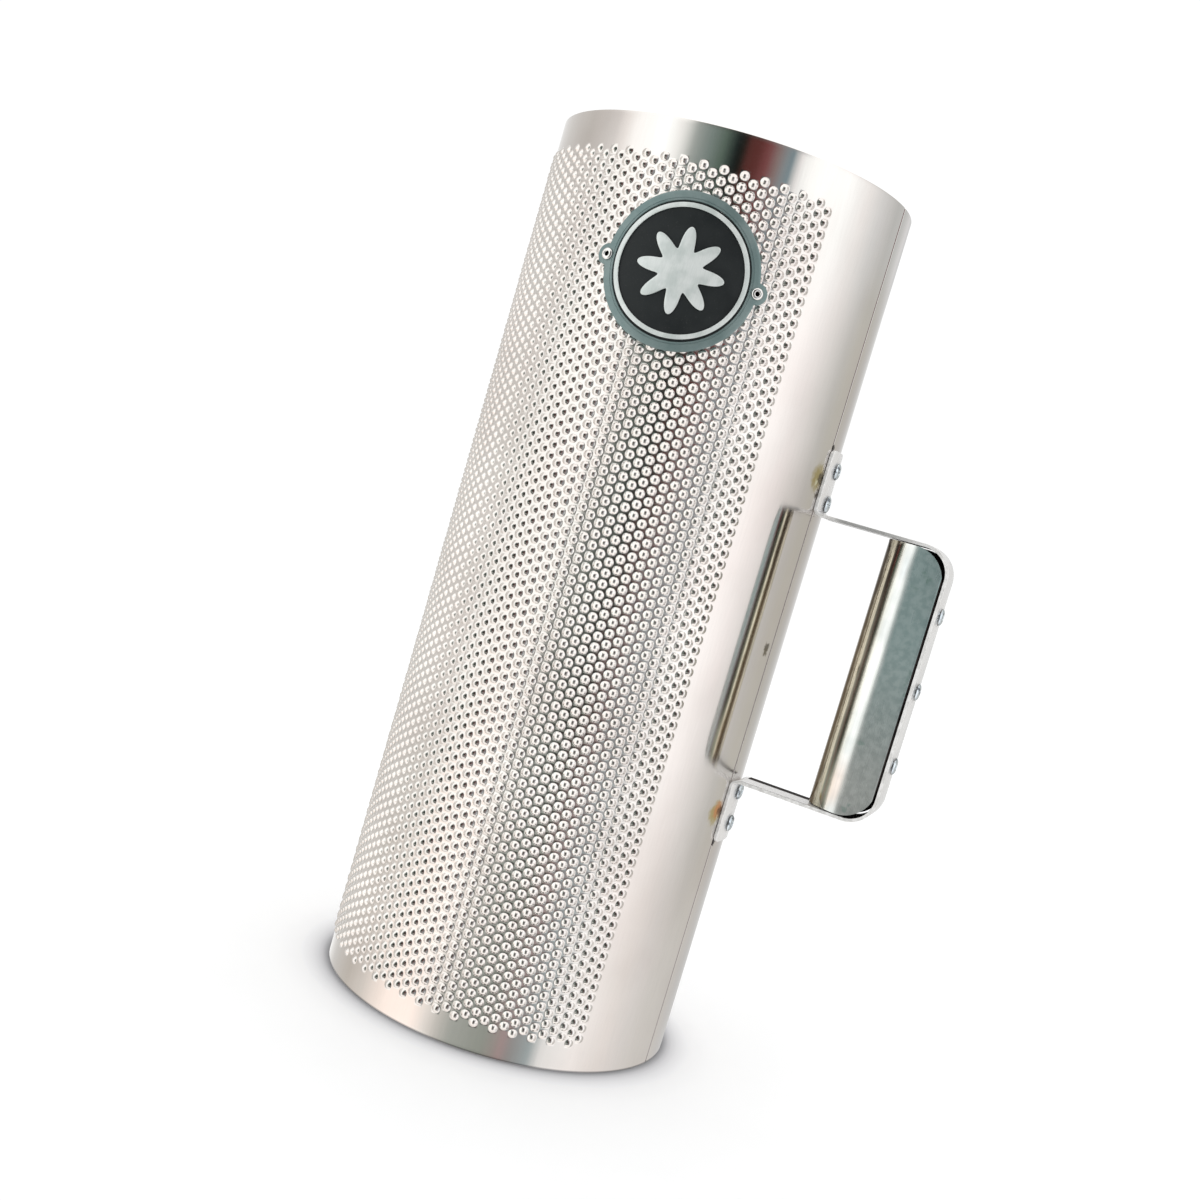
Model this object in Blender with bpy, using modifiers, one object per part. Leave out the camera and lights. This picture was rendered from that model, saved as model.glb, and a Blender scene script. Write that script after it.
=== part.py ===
"""Metal guiro: a rolled stainless tube with a lap seam, a riveted strap handle with a
rolled grip, and a round badge on two ears.

The tube stands upright on its lower rim, +Z up, and the handle points along +X. The origin
is the middle of the object's outline seen from above, at floor level. So the tube's own axis
lies a little towards -X, and a hair towards +Y, because the badge stands out of the tube.
Angles are measured about the tube's axis, from the handle, anticlockwise seen from above.
"""
import math

import bmesh
import bpy
from mathutils import Vector

# Driving dimensions, in metres and degrees
GAP = 0.0003                 # clearance between pieces that touch

TUBE_RADIUS = 0.0635         # outside of the rolled sheet
TUBE_HEIGHT = 0.308
SHEET = 0.0008               # thickness of the tube's sheet and of the grip's sheet
TUBE_STEP = 3.0              # facet angle of the tube
SEAM_ANGLE = -6.8            # free edge of the outer layer at the lap seam
LAP_ANGLE = 9.0              # width of the lap under the outer layer
JOGGLE = (0.9, 0.3)          # where the lap starts and ends its step inwards, from the edge

SHARP_ANGLE = 35.0           # edges steeper than this stay sharp in the shading

STRAP_WIDTH = 0.016
STRAP_THICK = 0.0012
STRAP_REACH = 0.1132         # from the tube's axis to the strap's outer face
STRAP_TOP = 0.2019           # upper face of the upper arm
STRAP_BOTTOM = 0.1046        # lower face of the lower arm
FOOT_LENGTH = 0.0220         # from the arm's outer face to the foot's end
FOOT_CORNER = 0.0022         # rounding of the foot's two end corners
FOOT_BEND = 0.0020           # middle radius of the bend between foot and arm
HAND_BEND = 0.0096           # middle radius of the bends at the outer run
EDGE_ROUND = 0.00025         # broken edge of the strap

GRIP_DEPTH = 0.0224          # from the strap's inner face to the nose
GRIP_NOSE = 0.0115           # depth of the curved nose
NOSE_POWER = 1.11            # 1 for half an ellipse, more for a sharper tip and fuller flanks
GRIP_CORNER = 0.0012         # corner between a side and its flange
GRIP_ARC = 0.0115            # rounding of the sides' ends, clear of the strap's bends
GRIP_SLIT = (0.0030, 0.0042)  # the two flanges' free edges, across the strap

RIVET_HEAD = 0.0030          # head radius
HEAD_HEIGHT = 0.0011
RIVET_SHANK = 0.0016
RIVET_BORE = 0.00095
RIVET_RIM = 0.00025          # upright rim of the head
RIVET_TAIL = (0.0024, 0.0026)    # radius and length of the swollen tail
MANDREL_STEM = 0.0006
MANDREL_BALL = 0.0014
MANDREL_REACH = 0.0043       # from the far sheet to the middle of the ball
MANDREL_SUNK = 0.0007        # from the crown down to the broken end
FOOT_RIVETS = (0.0037, 0.0154)   # from the arm's outer face along the foot
GRIP_RIVET_PITCH = 0.0264
RIVET_STEPS = 18
MANDREL_STEPS = 14

BADGE_ANGLE = -78.8
BADGE_HEIGHT = 0.2614
BADGE_RADIUS = 0.02525
BADGE_RIM = 0.0035           # width of the plate's rim round its recess
BADGE_PLATE = 0.0012         # thickness of the plate
BADGE_FLOOR = 0.0004         # thickness left under the recess
ENAMEL_RADIUS = 0.0214
ENAMEL_LAYER = (0.0007, 0.0010)   # heights above the plate's back
RING_RADII = (0.0199, 0.0214)
RELIEF_LAYER = (0.0013, 0.0017)   # ring and emblem
EMBLEM_RADIUS = 0.0105       # mean radius of the rosette
EMBLEM_WAVE = 0.0035         # height of its petals
EMBLEM_PETALS = 8
EAR_OFFSET = 0.0249          # from the badge's centre to an ear's rivet
EAR_RADIUS = 0.0035
EYELET_HEAD = 0.0019
EYELET_HIGH = 0.0006         # height of the rolled head
EYELET_SHANK = 0.0011
EYELET_BORE = 0.0007
EYELET_FLARE = (0.0018, 0.0007)  # radius and length of the flared tail
EYELET_STEPS = 16

# Worked out from them
RIVET_STACK = STRAP_THICK + SHEET + 2 * GAP   # from under the head to the far sheet
REACH = STRAP_REACH + GAP + HEAD_HEIGHT       # outermost point, a rivet head
BADGE_REACH = TUBE_RADIUS + GAP + RELIEF_LAYER[1]
AXIS_X = (TUBE_RADIUS - REACH) / 2            # the tube's axis in the object's frame
AXIS_Y = (BADGE_REACH - TUBE_RADIUS) / 2
STRAP_INNER = STRAP_REACH - STRAP_THICK
FOOT_FACE = TUBE_RADIUS + GAP + STRAP_THICK   # outer face of the feet
GRIP_BACK = STRAP_INNER - GAP                 # outer face of the flanges
GRIP_FRONT = STRAP_INNER - GRIP_DEPTH         # tip of the nose
GRIP_TOP = STRAP_TOP - STRAP_THICK - GAP
GRIP_BOTTOM = STRAP_BOTTOM + STRAP_THICK + GAP
MIDDLE = (STRAP_TOP + STRAP_BOTTOM) / 2
HOLE = RIVET_SHANK + GAP
ROD_MARGIN = 0.004           # how far a cutting rod reaches past the sheets


def clear_scene():
    for item in list(bpy.data.objects):
        bpy.data.objects.remove(item, do_unlink=True)


def new_collection(name):
    group = bpy.data.collections.new(name)
    bpy.context.scene.collection.children.link(group)
    return group


def new_material(name, colour, roughness, metallic):
    item = bpy.data.materials.new(name)
    item.use_nodes = True
    shader = item.node_tree.nodes["Principled BSDF"]
    shader.inputs["Base Color"].default_value = (*colour, 1.0)
    shader.inputs["Roughness"].default_value = roughness
    shader.inputs["Metallic"].default_value = metallic
    return item


clear_scene()
PARTS = new_collection("guiro")
CUTTERS = new_collection("cutters")

STEEL = new_material("polished_steel", (0.86, 0.84, 0.82), 0.12, 1.0)
STRAP_STEEL = new_material("strap_steel", (0.82, 0.81, 0.79), 0.22, 1.0)
GRIP_STEEL = new_material("grip_steel", (0.62, 0.66, 0.65), 0.30, 1.0)
RIVET_METAL = new_material("rivet_aluminium", (0.80, 0.80, 0.79), 0.30, 1.0)
MANDREL_METAL = new_material("mandrel_steel", (0.22, 0.22, 0.22), 0.45, 1.0)
BADGE_METAL = new_material("badge_metal", (0.50, 0.57, 0.57), 0.35, 1.0)
ENAMEL = new_material("black_enamel", (0.03, 0.035, 0.04), 0.35, 0.0)
RELIEF = new_material("pale_relief", (0.76, 0.80, 0.79), 0.35, 1.0)

AXIS = bpy.data.objects.new("tube_axis", None)
AXIS.location = (AXIS_X, AXIS_Y, 0)
PARTS.objects.link(AXIS)


# Small helpers

def add_object(name, mesh, surface, location=(0, 0, 0), rotation=(0, 0, 0), group=PARTS):
    """A part, placed in the frame whose origin is on the tube's axis."""
    item = bpy.data.objects.new(name, mesh)
    group.objects.link(item)
    item.parent = AXIS
    item.location = location
    item.rotation_euler = rotation
    if not mesh.materials:
        mesh.materials.append(surface)
    mesh.shade_smooth()
    mesh.set_sharp_from_angle(angle=math.radians(SHARP_ANGLE))
    return item


def grid_mesh(name, columns, rows, place, weld=False):
    """An open sheet of columns by rows quads, each point set by place(column, row)."""
    shape = bmesh.new()
    bmesh.ops.create_grid(shape, x_segments=columns, y_segments=rows, size=0.5)
    for point in shape.verts:
        column = round((point.co.x + 0.5) * columns)
        row = round((point.co.y + 0.5) * rows)
        point.co = place(column, row)
    if weld:
        bmesh.ops.remove_doubles(shape, verts=shape.verts, dist=1e-6)
    mesh = bpy.data.meshes.new(name)
    shape.to_mesh(mesh)
    shape.free()
    return mesh


def add_solidify(item, thickness, offset):
    solid = item.modifiers.new("thickness", "SOLIDIFY")
    solid.thickness = thickness
    solid.offset = offset
    solid.use_even_offset = True


def add_cut(item, cutter):
    cut = item.modifiers.new("cut " + cutter.name, "BOOLEAN")
    cut.operation = "DIFFERENCE"
    cut.object = cutter


def turned_mesh(name, profile, steps, closed):
    """A mesh turned about Z from (radius, height) points, outer side first, top to bottom."""
    mesh = bpy.data.meshes.new(name + "_profile")
    points = [(radius, 0, height) for radius, height in profile]
    edges = [(i, i + 1) for i in range(len(points) - 1)]
    if closed:
        edges.append((len(points) - 1, 0))
    mesh.from_pydata(points, edges, [])
    item = bpy.data.objects.new(name + "_profile", mesh)
    bpy.context.scene.collection.objects.link(item)
    turn = item.modifiers.new("turn", "SCREW")
    turn.steps = steps
    turn.render_steps = steps
    turn.use_merge_vertices = True
    turn.merge_threshold = 0.00001
    solid = bpy.data.meshes.new_from_object(item.evaluated_get(bpy.context.evaluated_depsgraph_get()))
    solid.name = name
    bpy.data.objects.remove(item, do_unlink=True)
    bpy.data.meshes.remove(mesh)
    return solid


def arc(centre, radius, start, end, steps):
    """Points on a circle from angle start to angle end, in degrees, both included."""
    angles = [math.radians(start + (end - start) * i / steps) for i in range(steps + 1)]
    return [(centre[0] + radius * math.cos(a), centre[1] + radius * math.sin(a)) for a in angles]


def radial_rod(name, radius, angle, height, inner, outer, sides=24):
    """A cutter: a round rod along the tube's radius at the given angle and height."""
    middle = (inner + outer) / 2
    turn = math.radians(angle)
    bpy.ops.mesh.primitive_cylinder_add(vertices=sides, radius=radius, depth=outer - inner)
    rod = bpy.context.object
    rod.name = name
    for group in list(rod.users_collection):
        group.objects.unlink(rod)
    CUTTERS.objects.link(rod)
    rod.parent = AXIS
    rod.location = (middle * math.cos(turn), middle * math.sin(turn), height)
    rod.rotation_euler = (0, math.pi / 2, turn)
    rod.hide_render = True
    rod.display_type = "WIRE"
    return rod


# Where the rivets go

FOOT_LEVELS = [STRAP_TOP + FOOT_RIVETS[1], STRAP_TOP + FOOT_RIVETS[0],
               STRAP_BOTTOM - FOOT_RIVETS[0], STRAP_BOTTOM - FOOT_RIVETS[1]]
GRIP_LEVELS = [MIDDLE + GRIP_RIVET_PITCH, MIDDLE, MIDDLE - GRIP_RIVET_PITCH]
EAR_TURN = math.degrees(EAR_OFFSET / TUBE_RADIUS)
EAR_ANGLES = [BADGE_ANGLE - EAR_TURN, BADGE_ANGLE + EAR_TURN]


def rivet_holes():
    inside, outside = TUBE_RADIUS - ROD_MARGIN, TUBE_RADIUS + ROD_MARGIN
    foot = [radial_rod(f"foot_hole_{i + 1}", HOLE, 0, level, inside, FOOT_FACE + ROD_MARGIN)
            for i, level in enumerate(FOOT_LEVELS)]
    grip = [radial_rod(f"grip_hole_{i + 1}", HOLE, 0, level, GRIP_BACK - ROD_MARGIN,
                       STRAP_REACH + ROD_MARGIN)
            for i, level in enumerate(GRIP_LEVELS)]
    ears = [radial_rod(f"ear_hole_{i + 1}", EYELET_SHANK + GAP, angle, BADGE_HEIGHT, inside, outside)
            for i, angle in enumerate(EAR_ANGLES)]
    return foot, grip, ears


# The tube: one sheet rolled round, its end stepped in under its beginning

def tube_outline():
    """(angle, radius) points from the outer layer's free edge, clockwise, to the hidden edge."""
    whole = 360.0
    step_start, step_end = JOGGLE
    lap_radius = TUBE_RADIUS - SHEET - GAP
    count = round((whole - step_start) / TUBE_STEP)
    round_part = [(SEAM_ANGLE - (whole - step_start) * i / count, TUBE_RADIUS) for i in range(count + 1)]
    lap = [(SEAM_ANGLE - whole + step_end - (LAP_ANGLE + step_end) * i / 3, lap_radius) for i in range(4)]
    return round_part + lap


def make_body_sheet(cutters):
    outline = tube_outline()

    def place(column, row):
        angle, radius = outline[column]
        turn = math.radians(angle)
        return Vector((radius * math.cos(turn), radius * math.sin(turn), (1 - row) * TUBE_HEIGHT))

    mesh = grid_mesh("body_sheet", len(outline) - 1, 1, place)
    item = add_object("body_sheet", mesh, STEEL)
    add_solidify(item, SHEET, -1)
    for cutter in cutters:
        add_cut(item, cutter)
    return item


# The handle: a strap bent from the upper foot round to the lower foot

def strap_line():
    """Middle line of the strap in the XZ plane, from the upper foot's end to the lower one's."""
    half = STRAP_THICK / 2
    foot_x = FOOT_FACE - half
    run_x = STRAP_REACH - half
    upper, lower = STRAP_TOP - half, STRAP_BOTTOM + half
    upper_foot = [(foot_x, z) for z in foot_stations(STRAP_TOP + FOOT_LENGTH, upper + FOOT_BEND, -1)]
    lower_foot = [(foot_x, z) for z in foot_stations(STRAP_BOTTOM - FOOT_LENGTH, lower - FOOT_BEND, 1)]
    line = upper_foot[:-1]
    line += arc((foot_x + FOOT_BEND, upper + FOOT_BEND), FOOT_BEND, 180, 270, 6)
    line += arc((run_x - HAND_BEND, upper - HAND_BEND), HAND_BEND, 90, 0, 10)
    line += arc((run_x - HAND_BEND, lower + HAND_BEND), HAND_BEND, 0, -90, 10)
    line += arc((foot_x + FOOT_BEND, lower - FOOT_BEND), FOOT_BEND, 90, 180, 6)
    return line + lower_foot[::-1][1:]


def foot_stations(end, bend, direction):
    """Heights from a foot's end to its bend, closer together where its corners are rounded."""
    corner = [end + direction * FOOT_CORNER * (1 - math.cos(math.radians(30 * i))) for i in range(4)]
    return corner + [bend]


def foot_half_width(from_end):
    """Half the strap's width at a distance from its free end, with rounded corners."""
    if from_end >= FOOT_CORNER:
        return STRAP_WIDTH / 2
    inset = FOOT_CORNER - math.sqrt(FOOT_CORNER ** 2 - (FOOT_CORNER - from_end) ** 2)
    return STRAP_WIDTH / 2 - inset


def make_strap(cutters):
    line = strap_line()
    top_end, bottom_end = line[0][1], line[-1][1]

    def place(column, row):
        x, z = line[column]
        half = foot_half_width(min(abs(z - top_end), abs(z - bottom_end)))
        return Vector((x, half * (2 * row - 1), z))

    mesh = grid_mesh("handle_strap", len(line) - 1, 1, place)
    item = add_object("handle_strap", mesh, STRAP_STEEL)
    add_solidify(item, STRAP_THICK, 0)
    bevel = item.modifiers.new("broken_edges", "BEVEL")
    bevel.width = EDGE_ROUND
    bevel.segments = 1
    bevel.limit_method = "ANGLE"
    bevel.angle_limit = math.radians(60)
    for cutter in cutters:
        add_cut(item, cutter)
    return item


# The grip: a sheet rolled to a D, its flanges lying on the strap's inner face

def grip_side():
    """Outer outline of one half of the D, from the nose's tip to where its flange starts."""
    half = STRAP_WIDTH / 2
    nose_end = GRIP_FRONT + GRIP_NOSE
    nose = [(GRIP_FRONT, 0)]
    for i in range(1, 9):
        turn = math.radians(10 * i)
        back = GRIP_NOSE * math.cos(turn) ** NOSE_POWER
        nose.append((nose_end - back, half * math.sin(turn) ** NOSE_POWER))
    nose.append((nose_end, half))
    corner_x = GRIP_BACK - GRIP_CORNER
    flat = [(GRIP_BACK - GRIP_ARC + GRIP_ARC * math.sin(math.radians(12 * i)), half) for i in range(8)]
    flat = [point for point in flat if nose_end < point[0] < corner_x - GRIP_CORNER / 4]
    return nose + flat + arc((corner_x, half - GRIP_CORNER), GRIP_CORNER, 90, 0, 5)


def grip_end_height(x):
    """Half the grip's height at x: full along the sides, an arc at their outer corners."""
    full = (GRIP_TOP - GRIP_BOTTOM) / 2
    beyond = x - (GRIP_BACK - GRIP_ARC)
    if beyond <= 0:
        return full
    return full - GRIP_ARC + math.sqrt(max(GRIP_ARC ** 2 - beyond ** 2, 0.0))


def make_grip(cutters):
    side = grip_side()
    near = [(x, -y) for x, y in side[::-1]]
    near_edge, far_edge = GRIP_SLIT
    outline = [(GRIP_BACK, near_edge)] + near + side[1:] + [(GRIP_BACK, far_edge)]
    centre = (GRIP_TOP + GRIP_BOTTOM) / 2

    def place(column, row):
        x, y = outline[column]
        return Vector((x, y, centre + (1 - 2 * row) * grip_end_height(x)))

    mesh = grid_mesh("grip_shell", len(outline) - 1, 1, place)
    item = add_object("grip_shell", mesh, GRIP_STEEL)
    add_solidify(item, SHEET, -1)
    for cutter in cutters:
        add_cut(item, cutter)
    return item


# Blind rivets: a domed head, a shank and a swollen tail, with the broken mandrel inside

def rivet_profile():
    """Outer side from the head's crown down to the tail, then the bore back up."""
    crown = RIVET_HEAD - RIVET_BORE
    head = [(RIVET_BORE + crown * 0.1, HEAD_HEIGHT), (RIVET_BORE + crown * 0.45, HEAD_HEIGHT * 0.9),
            (RIVET_BORE + crown * 0.8, HEAD_HEIGHT * 0.64), (RIVET_HEAD, RIVET_RIM), (RIVET_HEAD, 0)]
    under = -RIVET_STACK - GAP
    radius, length = RIVET_TAIL
    tail = [(RIVET_SHANK, 0), (RIVET_SHANK, under), (radius, under - length * 0.2),
            (radius, under - length * 0.45), (radius * 0.83, under - length * 0.85),
            (RIVET_SHANK, under - length)]
    return head + tail + [(RIVET_BORE, under - length), (RIVET_BORE, HEAD_HEIGHT * 0.65)]


def mandrel_profile():
    """The stem from its broken end, just below the crown, to the round head past the tail."""
    centre = -RIVET_STACK - MANDREL_REACH
    top = HEAD_HEIGHT - MANDREL_SUNK
    stem = [(0, top), (MANDREL_STEM, top - MANDREL_STEM / 6)]
    neck = math.degrees(math.acos(MANDREL_STEM / MANDREL_BALL))
    return stem + arc((0, centre), MANDREL_BALL, neck, -90, 7)[:-1] + [(0, centre - MANDREL_BALL)]


def make_rivets(name, levels, face):
    body = turned_mesh(name, rivet_profile(), RIVET_STEPS, closed=True)
    core = turned_mesh(name + "_mandrel", mandrel_profile(), MANDREL_STEPS, closed=False)
    for i, level in enumerate(levels):
        where = (face + GAP, 0, level)
        turn = (0, math.pi / 2, 0)
        add_object(f"{name}_{i + 1}", body, RIVET_METAL, where, turn)
        add_object(f"{name}_mandrel_{i + 1}", core, MANDREL_METAL, where, turn)


# The badge, curved to lie on the tube

def on_tube(along, up, out):
    """A point of the badge: along the tube's girth, up its height, out from its surface."""
    turn = math.radians(BADGE_ANGLE) + along / TUBE_RADIUS
    radius = TUBE_RADIUS + GAP + out
    return Vector((radius * math.cos(turn), radius * math.sin(turn), BADGE_HEIGHT + up))


def badge_disc(name, angles, edges, out):
    """A curved disc or ring: a grid column for each angle, a row for each edge, outermost first."""
    def place(column, row):
        angle = math.radians(angles[column])
        radius = edges[row](angles[column])
        return on_tube(radius * math.cos(angle), radius * math.sin(angle), out)

    return grid_mesh(name, len(angles) - 1, len(edges) - 1, place, weld=True)


def circle(radius):
    return lambda angle: radius


def petals(part):
    """Edge of the rosette, scaled down towards its centre."""
    return lambda angle: part * (EMBLEM_RADIUS
                                 + EMBLEM_WAVE * math.cos(math.radians(EMBLEM_PETALS * angle)))


def ear_outline(angle):
    """Edge of the badge plate: a circle with a round ear at each end of its width."""
    turn = math.radians(angle)
    side = EAR_OFFSET * abs(math.sin(turn))
    if side >= EAR_RADIUS:
        return BADGE_RADIUS
    reach = EAR_OFFSET * abs(math.cos(turn)) + math.sqrt(EAR_RADIUS ** 2 - side ** 2)
    return max(BADGE_RADIUS, reach)


def plate_angles():
    """Angles round the plate, a fine step on the ears and a coarse one between them."""
    ear_edge = math.degrees(math.asin(EAR_RADIUS / EAR_OFFSET))
    fine = [ear_edge * i / 9 for i in range(9)]
    quarter = fine + [ear_edge + (90 - ear_edge) * i / 13 for i in range(14)]
    half = quarter + [180 - angle for angle in quarter[::-1][1:]]
    return half + [180 + angle for angle in half[1:]]


def even_angles(count):
    return [360 * i / count for i in range(count + 1)]


def add_badge_layer(name, mesh, surface, thickness, group=PARTS):
    item = add_object(name, mesh, surface, group=group)
    add_solidify(item, thickness, 1)
    return item


def make_plate(cutters):
    """The plate with its ears, and a recess for the enamel."""
    edges = [ear_outline] + [circle(BADGE_RADIUS * part) for part in (0.97, 0.88, 0.6, 0.3, 0)]
    mesh = badge_disc("badge_plate", plate_angles(), edges, 0)
    plate = add_badge_layer("badge_plate", mesh, BADGE_METAL, BADGE_PLATE)
    recess_radius = BADGE_RADIUS - BADGE_RIM
    edges = [circle(recess_radius * part / 4) for part in (4, 3, 2, 1, 0)]
    mesh = badge_disc("badge_recess", even_angles(64), edges, BADGE_FLOOR)
    recess = add_badge_layer("badge_recess", mesh, BADGE_METAL, BADGE_PLATE, CUTTERS)
    recess.hide_render = True
    recess.display_type = "WIRE"
    for cutter in [recess] + cutters:
        add_cut(plate, cutter)


def make_badge_face():
    """Enamel in the recess, and the ring and the emblem that stand on it."""
    low, high = ENAMEL_LAYER
    edges = [circle(ENAMEL_RADIUS * part / 4) for part in (4, 3, 2, 1, 0)]
    mesh = badge_disc("badge_enamel", even_angles(48), edges, low)
    add_badge_layer("badge_enamel", mesh, ENAMEL, high - low)

    low, high = RELIEF_LAYER
    inner, outer = RING_RADII
    mesh = badge_disc("badge_ring", even_angles(64), [circle(outer), circle(inner)], low)
    add_badge_layer("badge_ring", mesh, RELIEF, high - low)

    edges = [petals(part / 3) for part in (3, 2, 1, 0)]
    mesh = badge_disc("badge_emblem", even_angles(EMBLEM_PETALS * 10), edges, low)
    add_badge_layer("badge_emblem", mesh, RELIEF, high - low)


def make_eyelets():
    """Hollow rivets through the ears: a rolled head, a shank and a flared tail."""
    lip = EYELET_HEAD - EYELET_BORE
    head = [(EYELET_BORE + lip / 6, EYELET_HIGH), (EYELET_BORE + lip * 2 / 3, EYELET_HIGH * 5 / 6),
            (EYELET_HEAD, EYELET_HIGH / 3), (EYELET_HEAD, 0)]
    under = -(BADGE_PLATE + SHEET + 3 * GAP)
    radius, length = EYELET_FLARE
    shank = [(EYELET_SHANK, 0), (EYELET_SHANK, under), (radius, under - length * 0.4),
             (radius * 0.95, under - length)]
    bore = [(EYELET_BORE + lip / 6, under - length), (EYELET_BORE, under - length * 0.4),
            (EYELET_BORE, EYELET_HIGH * 2 / 3)]
    mesh = turned_mesh("badge_eyelet", head + shank + bore, EYELET_STEPS, closed=True)
    seat = TUBE_RADIUS + GAP + BADGE_PLATE + GAP
    for i, angle in enumerate(EAR_ANGLES):
        turn = math.radians(angle)
        where = (seat * math.cos(turn), seat * math.sin(turn), BADGE_HEIGHT)
        add_object(f"badge_eyelet_{i + 1}", mesh, RIVET_METAL, where, (0, math.pi / 2, turn))


def main():
    foot_cutters, grip_cutters, ear_cutters = rivet_holes()
    make_body_sheet(foot_cutters + ear_cutters)
    make_strap(foot_cutters + grip_cutters)
    make_grip(grip_cutters)
    make_rivets("foot_rivet", FOOT_LEVELS, FOOT_FACE)
    make_rivets("grip_rivet", GRIP_LEVELS, STRAP_REACH)
    make_plate(ear_cutters)
    make_badge_face()
    make_eyelets()


main()
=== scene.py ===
import math

import bmesh
import bpy
import numpy as np
from mathutils import Matrix, Vector


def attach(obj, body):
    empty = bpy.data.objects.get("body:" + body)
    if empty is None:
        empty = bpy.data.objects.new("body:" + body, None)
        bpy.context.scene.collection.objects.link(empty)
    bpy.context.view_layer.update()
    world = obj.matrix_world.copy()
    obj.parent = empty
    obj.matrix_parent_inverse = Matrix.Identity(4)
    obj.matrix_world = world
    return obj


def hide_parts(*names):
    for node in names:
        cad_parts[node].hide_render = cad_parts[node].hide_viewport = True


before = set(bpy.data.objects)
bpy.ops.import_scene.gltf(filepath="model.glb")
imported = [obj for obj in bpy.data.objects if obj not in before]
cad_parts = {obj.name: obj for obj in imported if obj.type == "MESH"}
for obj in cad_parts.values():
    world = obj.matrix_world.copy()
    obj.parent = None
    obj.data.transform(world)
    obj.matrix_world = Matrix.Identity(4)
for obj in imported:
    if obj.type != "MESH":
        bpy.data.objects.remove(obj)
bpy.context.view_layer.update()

# Sizes shared with the CAD model, in metres and degrees
GAP = 0.0003
TUBE_RADIUS = 0.0635
TUBE_HEIGHT = 0.308
SHEET = 0.0008
SEAM_ANGLE = -6.8
LAP_ANGLE = 9.0
JOGGLE = (0.9, 0.3)
STRAP_WIDTH = 0.016
STRAP_THICK = 0.0012
STRAP_REACH = 0.1132
STRAP_TOP = 0.2019
STRAP_BOTTOM = 0.1046
FOOT_LENGTH = 0.022
FOOT_CORNER = 0.0022
FOOT_BEND = 0.002
HAND_BEND = 0.0096
GRIP_DEPTH = 0.0224
GRIP_NOSE = 0.0115
NOSE_POWER = 1.11
GRIP_CORNER = 0.0012
GRIP_ARC = 0.0115
FAR_ARC = 0.0092              # the far side's corners are cut less than the near side's
GRIP_SLIT = (0.003, 0.0042)
HEAD_RADIUS = 0.003
HEAD_HEIGHT = 0.0011
RIVET_SHANK = 0.0016
RIVET_BORE = 0.00095
FOOT_RIVETS = (0.0037, 0.0154)
GRIP_RIVET_PITCH = 0.0264
BADGE_ANGLE = -78.8
BADGE_HEIGHT = 0.2614
BADGE_RADIUS = 0.02525
BADGE_RIM = 0.0035
BADGE_PLATE = 0.0012
BADGE_FLOOR = 0.0004
ENAMEL_RADIUS = 0.0214
ENAMEL_LAYER = (0.0007, 0.001)
RING_RADII = (0.0199, 0.0214)
RELIEF_LAYER = (0.0013, 0.0017)
EMBLEM_RADIUS = 0.0105
EMBLEM_WAVE = 0.0035
EMBLEM_PETALS = 8
EAR_OFFSET = 0.0249
EAR_RADIUS = 0.0035
EYELET_HEAD = 0.0019
EYELET_SHANK = 0.0011
EYELET_BORE = 0.0007
BADGE_REACH = TUBE_RADIUS + GAP + RELIEF_LAYER[1]
REACH = STRAP_REACH + GAP + HEAD_HEIGHT
AXIS_X = (TUBE_RADIUS - REACH) / 2
AXIS_Y = (BADGE_REACH - TUBE_RADIUS) / 2
FOOT_FACE = TUBE_RADIUS + GAP + STRAP_THICK
GRIP_BACK = STRAP_REACH - STRAP_THICK - GAP
GRIP_FRONT = STRAP_REACH - STRAP_THICK - GRIP_DEPTH
GRIP_TOP = STRAP_TOP - STRAP_THICK - GAP
GRIP_BOTTOM = STRAP_BOTTOM + STRAP_THICK + GAP
MIDDLE = (STRAP_TOP + STRAP_BOTTOM) / 2
RIVET_STACK = STRAP_THICK + SHEET + 2 * GAP

SHARP_ANGLE = 35.0           # edges steeper than this stay sharp in the shading

# The field of raised bumps
FIELD_START = -40.5          # right edge of the field, in degrees about the tube's axis
COLUMN_PITCH = 3.0
COLUMNS = 90
BUMP_LOW = 0.01            # lowest bump of the first kind of column
BUMP_HIGH = 0.2952
BUMP_ROWS = 79
BUMP_SPREAD = 0.07           # how much the bumps differ in height, as a part of it
BUMP_TILT = 0.055            # and in the slope at their tops
BUMP_SEED = 11
BUMP_SLOPES = ((0.0, 0.0), (0.0005, 24.0), (0.001, 36.0), (0.00144, 42.0), (0.00164, 7.0))
DIMPLE_SLOPES = ((0.0, 0.0), (0.0008, 36.0), (0.00125, 0.0))

# The photograph's camera
CAMERA_PLACE = (0.0, -0.5302, 0.1899)   # seen from the tube's axis, before the turn
CAMERA_TURN = 19.0
CAMERA_YAW = -0.46
CAMERA_PITCH = -4.3
CAMERA_ROLL = 16.42
CAMERA_LENS = 43.89

TUBE_AXIS = Matrix.Translation((AXIS_X, AXIS_Y, 0.0))


def polar(angle, radius, height):
    """A point from its angle about the tube's axis, in degrees, its radius and its height."""
    turn = math.radians(angle)
    return Vector((radius * math.cos(turn), radius * math.sin(turn), height))


def spin(angle, axis):
    return Matrix.Rotation(math.radians(angle), 4, axis)


# Materials

MIX_SOCKETS = (0, 6, 7)      # factor and the two colours of a mix node
MIX_RESULT = 2


def grey(value):
    return (value, value, value)


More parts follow.
